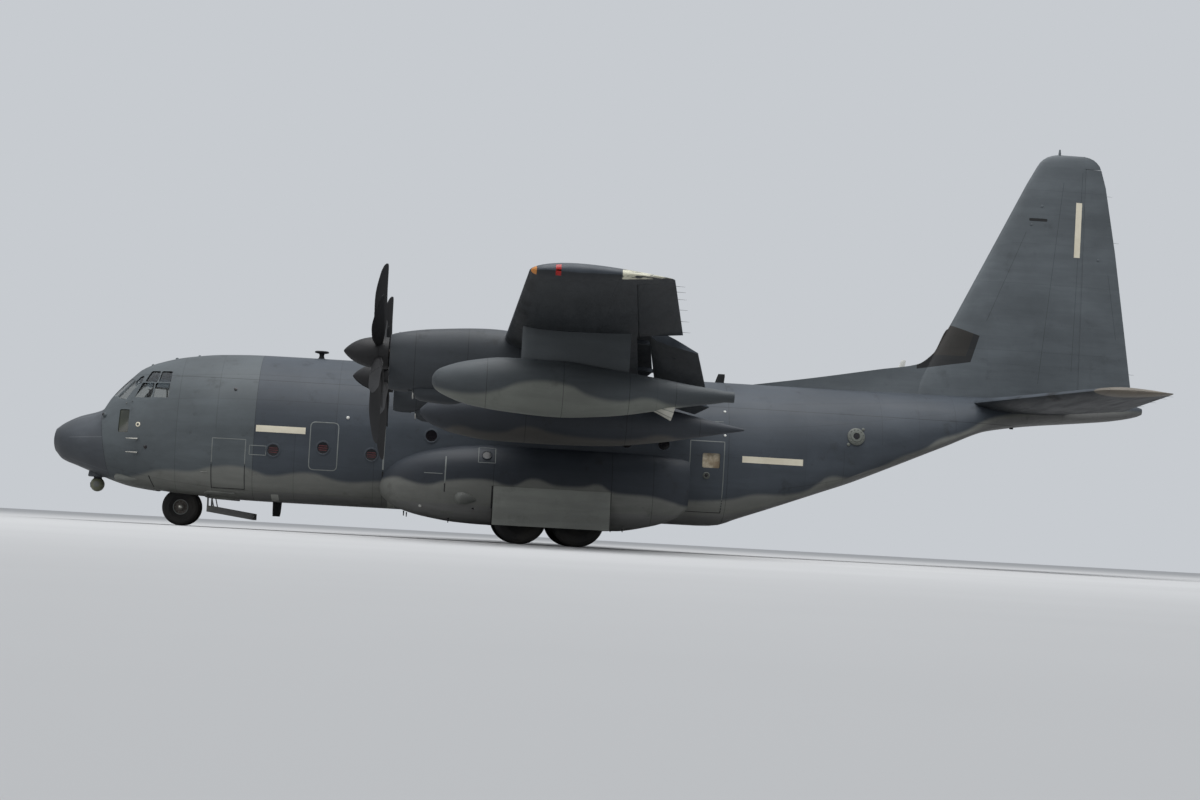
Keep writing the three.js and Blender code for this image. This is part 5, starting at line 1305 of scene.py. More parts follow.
def makeMainStruts(label, side):
    y = side * 1765
    parts = {"chrome": [], "gear": [], "metal": [], "dark": []}
    for x in (12560, 14080):
        parts["chrome"].append(turned("leg", (x, y, 600), upward, mainLeg["leg"], 28))
        parts["gear"] += [turned("sleeve", (x, y, 1120), upward, mainLeg["sleeve"], 32),
                          turned("foot", (x, y, 560), upward, mainLeg["foot"], 28),
                          bar("axle", (x, side * 1690, mainZ), (x, side * 2335, mainZ), 84, 28, soft=0.08),
                          block("collar", (x - 120, x + 120), (side * 1690, side * 1840), (1560, 1680), 14)]
        parts["metal"].append(turned("nut", (x, side * 2335, mainZ), (0, side, 0), mainLeg["nut"], 12))
        parts["dark"].append(turned("brake", (x, side * 1900, mainZ), (0, side, 0), mainLeg["brake"], 36))
        parts["dark"] += bent("pipe", [(x + 70, side * 1720, 1500), (x + 118, side * 1700, 1000),
                                       (x + 80, side * 1740, 700)], 11, 10)
    parts["gear"] += [bar("link", (12640, y, 640), (14000, y, 640), 30, 20),
                      *[hoop("eye", (x, y, 640), (0, 1, 0), mainLeg["eye"], 28) for x in (12640, 14000)],
                      bar("brace", (12560, y, 1620), (14080, y, 1620), 56, 24)]
    parts["metal"] += [bar("band", (x, y, 1620), (x + 40, y, 1620), 66, 24) for x in (13000, 13640)]
    assembled(label + "MainStruts", parts, "gear_metal", label + "_main_gear_legs")


def makeNoseStrut(x=3520):
    gear = [turned("leg", (x, 0, 1122), upward, noseLeg["leg"], 32),
            bar("cross", (x, -618, 1850), (x, 618, 1850), 60, 24),
            *bent("brace", [(x, 0, 1380), (3200, 0, 1660), (2920, 0, 1890)], 44),
            *bent("brace", [(3540, 0, 1500), (4250, 0, 1900)], 42),
            block("lug", (x - 60, x + 110), (-200, 200), (1660, 1730), 12)]
    chrome, dark = [], []
    for y in (-150, 150):
        gear.append(bar("jack", (x + 60, y, 1300), (x + 60, y, 1690), 38, 20))
        chrome.append(bar("rod", (x + 60, y, 1200), (x + 60, y, 1310), 18, 16))
        dark += bent("pipe", [(x - 90, y * 0.6, 1780), (x - 150, y * 0.7, 1500), (x - 120, y * 0.6, 1240)], 10, 10)
    assembled("noseStrut", {"gear": gear, "chrome": chrome, "dark": dark}, "gear_metal", "nose_gear_leg")
    parts = {
        "chrome": [turned("piston", (x, 0, 560), upward, noseLeg["piston"], 28)],
        "gear": [turned("collar", (x, 0, 990), upward, noseLeg["collar"], 32),
                 turned("foot", (x, 0, 432), upward, noseLeg["foot"], 28),
                 bar("axle", (x, -420, noseZ), (x, 420, noseZ), 64, 24),
                 link("torque", (x + 60, 0, 600), (x + 300, 0, 820), 20, 62),
                 link("torque", (x + 300, 0, 820), (x + 80, 0, 1050), 20, 56),
                 bar("tow", (x - 190, 0, 624), (x - 60, 0, 624), 38, 18),
                 hoop("towEye", (x - 190, 0, 624), (0, 1, 0), noseLeg["towEye"], 24)],
        "metal": [bar("pin", (x + 300, -60, 820), (x + 300, 60, 820), 26, 18)],
        "white": [],
    }
    for side in sides.values():
        lamp = (x - 150, side * 120, 1055)
        parts["metal"].append(turned("nut", (x, side * 400, noseZ), (0, side, 0), noseLeg["nut"], 12))
        parts["gear"].append(turned("lamp", lamp, (-1, 0, 0), noseLeg["lamp"], 24))
        parts["white"].append(turned("lens", lamp, (-1, 0, 0), noseLeg["lens"], 24))
    assembled("noseFork", parts, "gear_metal", "nose_gear_fork", body="nose_gear_fork")


def trayZ(x):
    return 410 - (x - 4222) * 0.13


def makeDoorTray():
    rings = []
    for x in (4222, 4250, *steps(4400, 5300, 6), 5450, 5480):
        z, slim = trayZ(x), 0 if 4240 < x < 5460 else 14
        rings.append([(x, y, z + up) for y, up in (
            (-520 + slim, slim), (-500, 0), (500, 0), (520 - slim, slim), (520 - slim, 170), (492, 170), (492, 30),
            (-492, 30), (-492, 170), (-520 + slim, 170))])
    gear = [block("rib", (x - 12, x + 12), (-494, 494), (trayZ(x) + 10, trayZ(x) + 110), 3)
            for x in steps(4300, 5420, 6)]
    gear += [bar("stringer", (4230, y, trayZ(4230) + 62), (5470, y, trayZ(5470) + 62), 14, 10) for y in (-250, 0, 250)]
    for side in sides.values():
        gear += [bar("arm", (4250, side * 490, 520), (4230, side * 572, 1440), 24, 20),
                 block("lug", (4190, 4270), (side * 540, side * 619), (1400, 1480), 10),
                 bar("arm", (4420, side * 490, 500), (4240, side * 550, 1180), 15, 14)]
    assembled("noseDoorTray", {"body": [loft("tray", rings)], "gear": gear}, "under_paint", "nose_gear_door")


def cushion(name, foot, across, up, size):
    # a crowned cushion, flat underneath, with its sides pulled in between the corners and a seam around the edge
    obj = started(name, bpy.ops.mesh.primitive_cube_add, size=2)
    bpy.ops.object.mode_set(mode="EDIT")
    bpy.ops.mesh.select_all(action="SELECT")
    bpy.ops.mesh.subdivide(number_cuts=9)
    bpy.ops.object.mode_set(mode="OBJECT")
    up, across = Vector(up).normalized(), Vector(across).normalized()
    along = across.cross(up)
    for v in obj.data.vertices:
        a, b, c = v.co
        swell = ((1 - a * a) * (1 - b * b)) ** 0.5
        rim = max(abs(a), abs(b)) > 0.99
        pull = 1 - (0.03 if abs(c) < 0.1 else 0.012 * c * c) if rim else 1
        wide = a * size[0] / 2 * (1 - 0.045 * (1 - b * b)) * pull
        long = b * size[1] / 2 * (1 - 0.04 * (1 - a * a)) * pull
        crease = 0.05 * math.sin(a * 7 + b * 4) * swell
        tall = size[2] * (0.3 + 0.26 * c + (0.44 * swell + crease) * max(0, c))
        point = Vector(foot) + across * wide + along * long + up * tall
        v.co = spot(*point)
    modify(obj, "SUBSURF", levels=1)
    finish(outward(obj), "cloth", "cabin_paint")


def seatParts(name, x, y, z, parts):  # a crew seat that faces the nose
    cushion(name + "SeatPad", (x - 15, y, z + 322), (0, -1, 0), (-0.1, 0, 1), (470, 470, 118))
    cushion(name + "BackPad", (x + 268, y, z + 700), (0, 1, 0), (-1, 0, 0.12), (440, 560, 112))
    cushion(name + "HeadPad", (x + 292, y, z + 1110), (0, 1, 0), (-1, 0, 0.12), (270, 190, 92))
    plate = [(x + 262, z + 318), (x + 286, z + 318), (x + 346, z + 1000), (x + 322, z + 1000)]
    foot = [(150, 0), (150, 22), (70, 34), (62, 300), (120, 312), (120, 318)]
    parts["gear"] += [
        *[bar("headPost", (x + 330, at, z + 940), (x + 345, at, z + 1140), 12, 10) for at in (y - 70, y + 70)],
        block("pan", (x - 240, x + 250), (y - 226, y + 226), (z + 296, z + 322), 8),
        prism("backPlate", plate, "y", (y - 214, y + 214)), turned("post", (x, y, z), upward, foot, 24)]
    for side in sides.values():
        parts["dark"].append(block("arm", (x - 190, x + 190), (y + side * 255, y + side * 305), (z + 560, z + 605), 16))
        parts["gear"].append(block("armPost", (x + 200, x + 330), (y + side * 232, y + side * 262),
                                   (z + 300, z + 640), 10))


def makeScreen(y):  # a screen on the sloping panel
    out, across, up = Vector((0.973, 0, 0.23)), Vector((0, 1, 0)), Vector((-0.23, 0, 0.973))
    at = Vector((2292, y, 2940))
    corners = [(-1, -0.9), (-0.9, -1), (0.9, -1), (1, -0.9), (1, 0.9), (0.9, 1), (-0.9, 1), (-1, 0.9)]
    screen = loft("screen", [[at + across * a * wide + up * b * wide * 0.78 + out * lift for a, b in corners]
                             for wide, lift in ((150, -10), (150, 14), (136, 18), (132, 12), (4, 12))])
    painted(screen, "seam", "screen")
    places = [v.co - spot(*at) for v in screen.data.vertices]
    for face in screen.data.polygons:
        face.material_index = int(max(places[i].length for i in face.vertices) < 0.096)
    return screen


def makeFlightDeck():
    inside = noseHull("inside", wall["nose"] + 1, 82, 5560)
    deck = block("deck", (2000, 5410), (-2000, 2000), (2250, 2330))
    bulkhead = cut(block("bulkhead", (5330, 5410), (-2000, 2000), (1051, 4600)),
                   block("tool", (5200, 5500), (-1100, -350), (1050, 2200)),
                   block("tool", (5200, 5500), (-350, 350), (2330, 4050)))
    coaming = prism("coaming", [(2000, 2330), (2250, 2330), (2250, 2700), (2330, 2780), (2250, 3120), (2200, 3175),
                                (2000, 3175)], "y", (-1150, 1150))
    shelf = prism("glareshield", [(2000, 3140), (2340, 3140), (2380, 3158), (2380, 3182), (2330, 3196), (2000, 3196)],
                  "y", (-1130, 1130))
    fitted = [painted(obj, key) for obj, key in (
        (deck, "cabin"), (bulkhead, "cabin"), (coaming, "dark"), (shelf, "seam"))]
    for part in fitted:
        cut(part, inside, how="INTERSECT", keep=True)
    cut(deck, block("tool", (3900, 4200), (200, 900), (1052, 2400)),
        block("tool", (4400, 5320), (-2500, -1970), (1000, 2500)))
    drop(inside)
    parts = {"dark": [block("console", (2280, 3300), (-190, 190), (2330, 2760), 30),
                      block("overhead", (2650, 3200), (-330, 330), (3940, 4010), 20),
                      block("bunk", (4520, 5250), (500, 1240), (2335, 2660), 30)],
             "seam": [block("unit", (x, x + 90), (-150, 150), (2755, 2772), 3) for x in steps(2420, 3160, 6)],
             "gear": []}
    for y in (-90, -30, 30, 90):
        parts["gear"].append(bar("lever", (2600, y, 2750), (2560, y, 2900), 8, 8))
        parts["seam"].append(bar("knob", (2560, y - 22, 2905), (2560, y + 22, 2905), 18, 12))
    for label, side in sides.items():
        y = side * 580
        seatParts(label + "Crew", 3080, y, 2330, parts)
        parts["dark"] += [block("shelf", (2420, 3500), (side * 1010, side * 1330), (2330, 2790), 24),
                          block("rack", (3980, 5250), (side * 1330, side * 1500), (2335, 3650), 20),
                          *bent("column", [(2480, y, 2335), (2500, y, 2900), (2600, y, 3020)], 26, 14)]
        parts["gear"] += [block("shelfLine", (4000, 5230), (side * 1322, side * 1332), (z, z + 16))
                          for z in (2700, 3050, 3400)]
        parts["seam"] += bent("yoke", [(2610, y - 150, 3110), (2605, y - 120, 3020), (2605, y + 120, 3020),
                                       (2610, y + 150, 3110)], 15, 12)
    seatParts("rearCrew", 4120, -300, 2330, parts)
    cushion("bunkPad", (4885, 870, 2660), (0, 1, 0), (0, 0, 1), (700, 700, 110))
    loose = [painted(obj, key) for key, group in parts.items() for obj in group]
    finish(joined("flightDeck", fitted + [makeScreen(y) for y in (-810, -470, 0, 470, 810)] + loose), None,
           "cabin_paint", "flight_deck")


def ribAt(x, turn, depth=46, inset=wall["hold"] + 1, half=16):  # a frame of the hold over the hull's section
    return loft("frame", [[skinPoint(x - half, t, inset), skinPoint(x + half, t, inset),
                           skinPoint(x + half, t, inset + depth), skinPoint(x - half, t, inset + depth)]
                          for t in steps(turn, math.pi - turn, 40)])


def makeHold():
    low = turnAt(9000, 1120)
    lining = [ribAt(x, low) for x in range(5760, 16900, 557)]
    lining += [ribAt(x, turnAt(x, max(2300, fuselageAt(x)[2] + 900))) for x in range(18350, 22300, 510)]
    parts = {"lining": lining, "green": [], "gear": [], "cream": []}
    for side in sides.values():
        lining += [bar("stringer", (5600, side * y, z), (16900, side * y, z), 20, 8)
                   for z, y in ((2050, 1925), (2900, 1860), (3600, 1540))]
        lining += [bar("duct", (5620, side * y, z), (17900, side * y, z), radius, 18)
                   for y, z, radius in ((620, 4270, 78), (980, 4150, 40), (300, 4440, 26))]
        for x in range(6000, 15800, 1960):
            parts["green"] += [block("pan", (x, x + 1900), (side * 1420, side * 1850), (1500, 1530), 8),
                               block("back", (x, x + 1900), (side * 1850, side * 1868), (1640, 2350), 6)]
            parts["gear"].append(bar("rail", (x, side * 1415, 1514), (x + 1900, side * 1415, 1514), 18, 10))
            for at in (x + 80, x + 950, x + 1820):
                parts["gear"] += [bar("leg", (at, side * 1430, 1070), (at, side * 1430, 1500), 14, 8),
                                  bar("stay", (at, side * 1860, 2350), (at, side * 1890, 2900), 9, 6)]
        parts["cream"] += [block("lamp", (x, x + 420), (side * 330, side * 470), (4330, 4360), 8)
                           for x in range(6500, 17500, 1570)]
    assembled("holdFittings", parts, "cabin_paint")
    rails = [block("track", (5600, 17900), (y - 28, y + 28), (1050, 1057)) for y in (-1180, -560, 560, 1180)]
    rails += [turned("ring", (x, y, 1050), upward, [(46, 0), (46, 6), (36, 7), (34, 3), (3, 3)], 16)
              for x in range(5900, 17800, 500) for y in (-870, 0, 870)]
    finish(joined("floorTracks", rails), "gear", "cabin_paint")


def makeTurret():
    centre = Vector((1220, 0, 980))
    ball = [(190 * math.sin(a) + 0.5, -190 * math.cos(a)) for a in steps(0.02, math.pi - 0.62, 26)]
    neck = [(128, 0), (132, 12), (118, 30), (110, 40), (110, 81)]
    cheek = [(80, 0), (80, 30), (66, 38), (20, 40), (2, 40)]
    parts = {"olive": [turned("ball", centre, upward, ball, 48)],
             "dark": [turned("neck", (1220, 0, 1100), upward, neck, 40)],
             "pale": [hoop("belt", centre, (0, 1, 0), [(186, -10), (191, -8), (191, 8), (186, 10)], 56),
                      *[turned("cheek", (1220, side * 150, 985), (0, side, 0), cheek, 32) for side in sides.values()]],
             "darkGlass": []}
    gaze = Vector((-1, 0, -0.25)).normalized()
    for y, z, r in ((-42, 20, 58), (62, 42, 34), (62, -46, 30), (-46, -74, 22)):
        out = (gaze * 176 + Vector((0, y, z))).normalized()
        at = centre + out * 178
        parts["dark"].append(hoop("bezel", at, out, [(r - 4, -10), (r + 9, -10), (r + 7, 9), (r - 2, 11)], 36))
        parts["darkGlass"].append(turned("lens", at, out, [(r - 3, -8), (r - 3, 2), (r * 0.6, 7), (2, 8)], 32))
    assembled("turretBall", parts, "sensor_paint", "sensor_turret", body="sensor_turret")


for label, side in sides.items():
    makeMainStruts(label, side)
makeNoseStrut()
makeDoorTray()
makeTurret()
makeFlightDeck()
makeHold()
print("struts, turret and flight deck made")

# Looks of the CAD shapes that stay
for key, names in {"cabin": ["cargo_floor"], "engine": [label + "_engine" for label in engines]}.items():
    for name in names:
        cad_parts[name].data.materials.clear()
        painted(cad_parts[name], key)

# Marks and fittings on the skin

def mirrored(vector, side):
    return Vector((vector.x, side * vector.y, vector.z))


def skinFrame(x, turn, side=-1):  # a point of the skin and the way out of it
    point = Vector(skinPoint(x, turn))
    along = Vector(skinPoint(x + 4, turn)) - Vector(skinPoint(x - 4, turn))
    around = Vector(skinPoint(x, turn + 0.01)) - Vector(skinPoint(x, turn - 0.01))
    return mirrored(point, side), mirrored(around.cross(along).normalized(), side)


def onSkin(x, z, side=-1):
    return skinFrame(x, turnAt(x, z), side)


sponsonAt = curveThrough(sponsonRows)


def sponsonPoint(x, z):
    top, bottom, outer = sponsonAt(x)
    share = min(0.999, abs(2 * z - top - bottom) / (top - bottom))
    return Vector((x, 1650 + (1 - share ** 2.7) ** (1 / 2.7) * (outer - 1650), z))


def onSponson(x, z, side=-1):
    up = sponsonPoint(x, z + 4) - sponsonPoint(x, z - 4)
    out = up.cross(sponsonPoint(x + 4, z) - sponsonPoint(x - 4, z)).normalized()
    return mirrored(sponsonPoint(x, z), side), mirrored(out if out.y > 0 else -out, side)


def onFin(x, z, side=-1):
    return Vector((x, side * halfAt(rowAt(finRows, z), x), z)), Vector((0, side, 0))


def dense(points, step=70):
    out = []
    for a, b in zip(points, points[1:]):
        a, b = Vector(a), Vector(b)
        count = max(1, math.ceil((b - a).length / step))
        out += [a + (b - a) * i / count for i in range(count)]
    return out + [points[-1]]


def welt(name, places, width, height, closed=False, foot=4):
    # a low raised strip along places of the form (point, way out)
    shape = [(-0.5, -1), (-0.5, 0.55), (-0.42, 1), (0, 1), (0.42, 1), (0.5, 0.55), (0.5, -1)]
    if closed:
        places = places[:-1]
    rings = []
    for i, (point, out) in enumerate(places):
        before = places[i - 1] if i or closed else places[i]
        after = places[(i + 1) % len(places)] if i + 1 < len(places) or closed else places[i]
        along = (after[0] - before[0]).normalized()
        across = along.cross(out).normalized()
        rings.append([point + out * (v * height if v > 0 else -foot) + across * u * width for u, v in shape])
    if closed:
        rings.append(rings[0])
    return loft(name, rings, ends="NOTHING" if closed else "NGON")


def sideWelt(name, outline, width, height=3, closed=True, side=-1, soft=0, surface=onSkin):
    outline = rounded(outline, soft) if soft else list(outline)
    path = dense(outline + outline[:1] if closed else outline)
    strip = welt(name, [surface(x, z, side) for x, z in path], width, height, closed)
    if closed:
        outward(strip, merge=0.00002)
    return strip


def onSide(name, x, z, profile, side=-1, count=32, surface=onSkin):  # a turned piece that stands out
    point, out = surface(x, z, side)
    return turned(name, point, out, profile, count)


def bothSides(objs):
    return objs + [copied(o, o.name, mirrorY) for o in objs]


def plate(name, outline, lift=2, thick=5, side=-1, soft=0, step=60, surface=onSkin):
    # a thin plate that follows the skin over an outline of x and z
    outline = rounded(outline, soft) if soft else list(outline)
    edge = dense(outline + outline[:1], step)[:-1]
    middle = middleOf(outline)
    rows = []
    for share, depth in ((1, -thick), (1, lift), (0.8, lift), (0.6, lift), (0.4, lift), (0.2, lift), (0.02, lift)):
        places = [surface(*(middle + (Vector(p) - middle) * share), side) for p in edge]
        rows.append([point + out * depth for point, out in places])
    return loft(name, rows)


marks = {
    "strips": [box2d(5540, 6830, 2565, 2735), box2d(18370, 20010, 2480, 2650)],
    "redPortholes": [(6020, 2100), (7310, 2230), (8580, 2120)],
    "darkPortholes": [(10120, 2710), (15260, 2840), (16260, 2840)],
    "exit": box2d(6960, 7690, 1650, 2900),
    "crewDoorLine": [(4425, 1700), (4425, 2335), (5295, 2335), (5295, 1700)],
    "crewDoorDark": [(5297, 1660), (5297, 1040), (4423, 1040), (4423, 1660)],
    "jumpDoorLine": [(16975, 1180), (16975, 2995), (17885, 2995), (17885, 1180)],
    "jumpDoorDark": [(17887, 1500), (17887, 1112), (16973, 1112), (16973, 1500)],
    "studs": [(16950, 3230), (17890, 3170), (17890, 3820)],
}


def makeMarks():
    strips = bothSides([plate("strip", s, 3) for s in marks["strips"]])
    finish(joined("formationStrips", strips), "cream", "upper_paint")
    frames, panes, bars = [], [], []
    for x, z in marks["redPortholes"] + marks["darkPortholes"]:
        frames.append(onSide("frame", x, z, [(150, -30), (150, 6), (160, 13), (186, 13), (198, 5), (200, -30)]))
        panes.append(onSide("pane", x, z, [(152, -25), (152, 3), (80, 5), (3, 6)]))
    for x, z in marks["redPortholes"]:
        for dz in (-56, 0, 56):
            half = math.sqrt(120 ** 2 - dz ** 2)
            bars.append(sideWelt("bar", [(x - half, z + dz), (x + half, z + dz)], 26, 9, closed=False))
    finish(joined("portholeFrames", bothSides(frames)), "body", "upper_paint")
    finish(joined("portholePanes", bothSides(panes)), "darkGlass", "glazing")
    finish(joined("portholeBars", bothSides(bars)), "dullRed", "upper_paint")
    lines = [sideWelt("line", marks["exit"], 26, soft=130),
             sideWelt("line", marks["crewDoorLine"], 24, closed=False),
             sideWelt("line", marks["jumpDoorLine"], 24, closed=False),
             sideWelt("line", box2d(5400, 5830, 1955, 2195), 20),
             sideWelt("line", [(8900, 3060), (8900, 1750)], 42, closed=False),
             sideWelt("line", [(17220, 3520), (17850, 3540)], 14, closed=False)]
    finish(joined("sideLines", bothSides(lines)), "line", "upper_paint")
    darks = [sideWelt("dark", marks["crewDoorDark"], 20, 3, closed=False),
             sideWelt("dark", marks["jumpDoorDark"], 20, 3, closed=False),
             sideWelt("dark", [(8900, 1700), (8900, 1230)], 36, closed=False),
             sideWelt("dark", [(2750, 1270), (2850, 985)], 26, closed=False)]
    finish(joined("sideGaps", bothSides(darks)), "seam", "upper_paint")
    lights = [onSide("light", 7910, 3060, [(44, -10), (44, 10), (30, 24), (3, 30)], count=20)]
    lights += [onSide("stud", x, z, [(34, -10), (34, 12), (20, 22), (3, 24)], count=16) for x, z in marks["studs"]]
    finish(joined("sideLights", bothSides(lights)), "white", "upper_paint")
    discs = [onSide("disc", 21440, 3350, [(238, -25), (238, 22), (216, 40), (165, 46), (150, 66), (96, 70), (86, 40),
                                          (40, 36), (3, 36)], count=40)]
    point, out = onSkin(21440, 3350)
    one, two = out.orthogonal().normalized(), out.cross(out.orthogonal().normalized())
    for turn in (2 * math.pi * i / 12 for i in range(12)):
        at = point + (one * math.cos(turn) + two * math.sin(turn)) * 192
        discs.append(turned("bolt", at, out, [(17, 20), (17, 52), (9, 56)], 6))
    discs.append(onSide("valve", 17430, 2080, [(95, -20), (95, 12), (80, 24), (60, 24), (52, 8), (3, 6)], count=28))
    discs += [onSide("knob", x, z, [(44, -10), (44, 14), (30, 26), (3, 28)], count=18)
              for x, z in ((21640, 3560), (21230, 3130))]
    finish(joined("sideFittings", bothSides(discs)), "fitting", "upper_paint")
    centres = [onSide("centre", 21440, 3350, [(84, 30), (84, 44), (40, 47), (3, 48)], count=24)]
    centres += [onSide("dot", x, z, [(r, -10), (r, 14), (r * 0.6, 22), (3, 24)], count=16)
                for x, z, r in ((4920, 3650, 42), (2660, 2010, 46), (17430, 2080, 38))]
    finish(joined("sideDots", bothSides(centres)), "darkGlass", "upper_paint")


eyeShape = [(74, 0), (96, 14), (116, 90), (118, 200), (94, 380), (52, 540)]


def makeNoseFittings():
    bodies, lenses, rims, tubes, eyes = [], [], [], [], []
    for side in sides.values():
        start, out = onSkin(1840, 1230, side)
        end, endOut = onSkin(2460, 1150, side)
        start = start + out * 28
        along = end - endOut * 20 - start
        eyes.append(turned("eye", start, along, [*eyeShape, (6, along.length)], 32))
        lenses.append(turned("lens", start - along.normalized() * 12, along, [(3, 0), (30, 4), (46, 14), (50, 30)], 24))
        rims.append(hoop("rim", start, along, [(50, -8), (62, -8), (66, 4), (50, 10)], 32))
        ball, out = onSkin(1470, 2800, side)
        bodies.append(turned("knob", ball - out * 10, out, [(62, 0), (62, 40), (54, 66), (40, 84)], 28))
        lenses.append(turned("knobLens", ball + out * 60, out, [(42, 0), (40, 18), (24, 32), (3, 36)], 24))
        disc, out = onSkin(2420, 2590, side)
        rims.append(turned("disc", disc, out, [(64, -10), (64, 8), (54, 16), (36, 16), (34, 4)], 32))
        lenses.append(turned("discCentre", disc, out, [(35, -5), (35, 6), (3, 8)], 24))
        for x, z in ((2440, 2210), (2450, 1870)):  # pitot tubes
            foot, out = onSkin(x, z, side)
            head = foot + out * 105 + Vector((-40, 0, 0))
            bodies.append(bar("mast", foot - out * 20, head, 30, 16, 17))
            tubes.append(bar("tube", head + Vector((80, 0, 0)), head - Vector((230, 0, 0)), 22, 16, 12))
        for x, z in ((2030, 3130), (2180, 3190)):  # ice and stall probes under the windows
            foot, out = onSkin(x, z, side)
            tubes.append(bar("probe", foot - out * 10, foot + out * 70 + Vector((50, 0, 0)), 12, 12, 6))
        foot, out = onSkin(4240, 1450, side)
        grip, reach = foot + out * 22, Vector((90, 0, 0))
        bodies.append(bar("handle", grip - reach, grip + reach, 14, 12))
        for at in (foot - Vector((70, 0, 0)), foot + Vector((70, 0, 0))):
            bodies.append(bar("handleFoot", at - out * 20, at + out * 22, 10, 10))
    for x, radius, height in ((2490, 42, 40), (3120, 46, 44), (3720, 40, 36)):
        dome = [(radius, 0), (radius, 20), (radius * 0.7, height), (4, height + 12)]
        bodies.append(turned("dome", (x, 0, fuselageAt(x)[0] - 12), upward, dome, 24))
    finish(joined("noseFittings", bodies), "body", "upper_paint")
    finish(joined("sensorEyes", eyes), "pale", "upper_paint")
    finish(joined("airTubes", tubes), "metal", "upper_paint")
    finish(joined("noseLenses", lenses), "darkGlass", "glazing")
    finish(joined("noseRims", rims), "cream", "upper_paint")
    duct = {"back": 5040, "high": 945, "width": 90}
    high, low = turnAt(4700, duct["high"]), turnAt(4700, 800)
    path = [(duct["back"], high), (4500, high), (4380, high - 0.01)]
    path += [(4380 - 150 * math.sin(t), high + (low - high) * (1 - math.cos(t)) / 2)
             for t in steps(0.3, math.pi - 0.3, 8)]
    path += [(4380, low), (4500, low), (duct["back"] - 60, low)]
    ducts = [welt("duct", [skinFrame(x, t, -1) for x, t in dense(path, 60)], duct["width"], 46)]
    finish(joined("sideDucts", bothSides(ducts)), "pale", "under_paint")
    squares = [plate("square", box2d(x, x + 190, 800, 950), 6, 10, soft=20) for x in (5985, 9050)]
    ticks = [sideWelt("tick", [(x, z), (x + 240, z)], 18, 8, closed=False) for x, z in ((5960, 790), (9030, 790))]
    finish(joined("stepPlates", bothSides(squares + ticks)), "stepGrey", "under_paint")


def blade(name, x, y, z, height, chord, half, sweep=0, taper=0.7, count=12):
    # an upright aerial of airfoil section
    section = slimFoil(count)
    rings = []
    for share in (0, 0.25, 0.5, 0.75, 0.93, 0.985, 1):
        size = (1 + (taper - 1) * share) * (1 if share < 0.9 else 0.94 if share < 0.99 else 0.8)
        front = x + sweep * share + (chord - chord * size) * 0.3
        thin = half * (1 - 0.35 * share) * (1 if share < 0.95 else 0.55)
        rings.append([(front + u * chord * size, y + v * thin, z + height * share) for u, v in section])
    return loft(name, rings)


def makeAerials():
    cap = turned("cap", (7000, 0, 4700), upward, [
        (112, 0), (112, 26), (78, 40), (62, 110), (74, 160), (180, 182), (192, 196), (192, 212), (176, 230), (60, 240),
        (3, 241)], 40)
    dark = [cap, blade("topBlade", 17780, 0, 4700, 265, 260, 26, 70, 0.75),
            blade("bellyBlade", 5930, 0, 775, -395, 250, 30, 0, 0.86),
            blade("tailBlade", 26000, 0, 4060, -150, 180, 16, 60, 0.6)]
    dark += [bar("drain", (x, y, z + 70), (x, y, z - 60), 20, 16, 12) for x, y, z in
             ((9510, -2150, 640), (10680, -2150, 520), (15280, -2100, 520), (9510, 2150, 640), (15280, 2100, 520))]
    finish(joined("darkAerials", dark), "seam", "upper_paint")
    finish(blade("dorsalAerial", 22880, 0, 5440, 215, 170, 18, 70, 0.75), "white", "upper_paint")
    finish(blade("roofAerial", 12600, 0, 4690, 240, 210, 16, 90, 0.6), "white", "upper_paint")

def makeFinMarks():
    on = {"surface": onFin}
    strip = [(27660, 8800), (27830, 8800), (27848, 10350), (27678, 10350)]
    slot = box2d(26350, 26860, 9755, 9835)
    strips = [plate("strip", strip, 3, side=side, **on) for side in sides.values()]
    finish(joined("finStrips", strips), "cream", "upper_paint")
    slots = [plate("slot", slot, 2, soft=30, side=side, step=30, **on) for side in sides.values()]
    finish(joined("finSlots", slots), "seam", "upper_paint")
    bumps = [onSide("bump", x, z, [(36, -10), (36, 6), (20, 14), (3, 16)], side, 16, **on)
             for side in sides.values() for x, z in ((28370, 8780), (26700, 10180), (26420, 9650))]
    finish(joined("finBumps", bumps), "fin", "upper_paint")


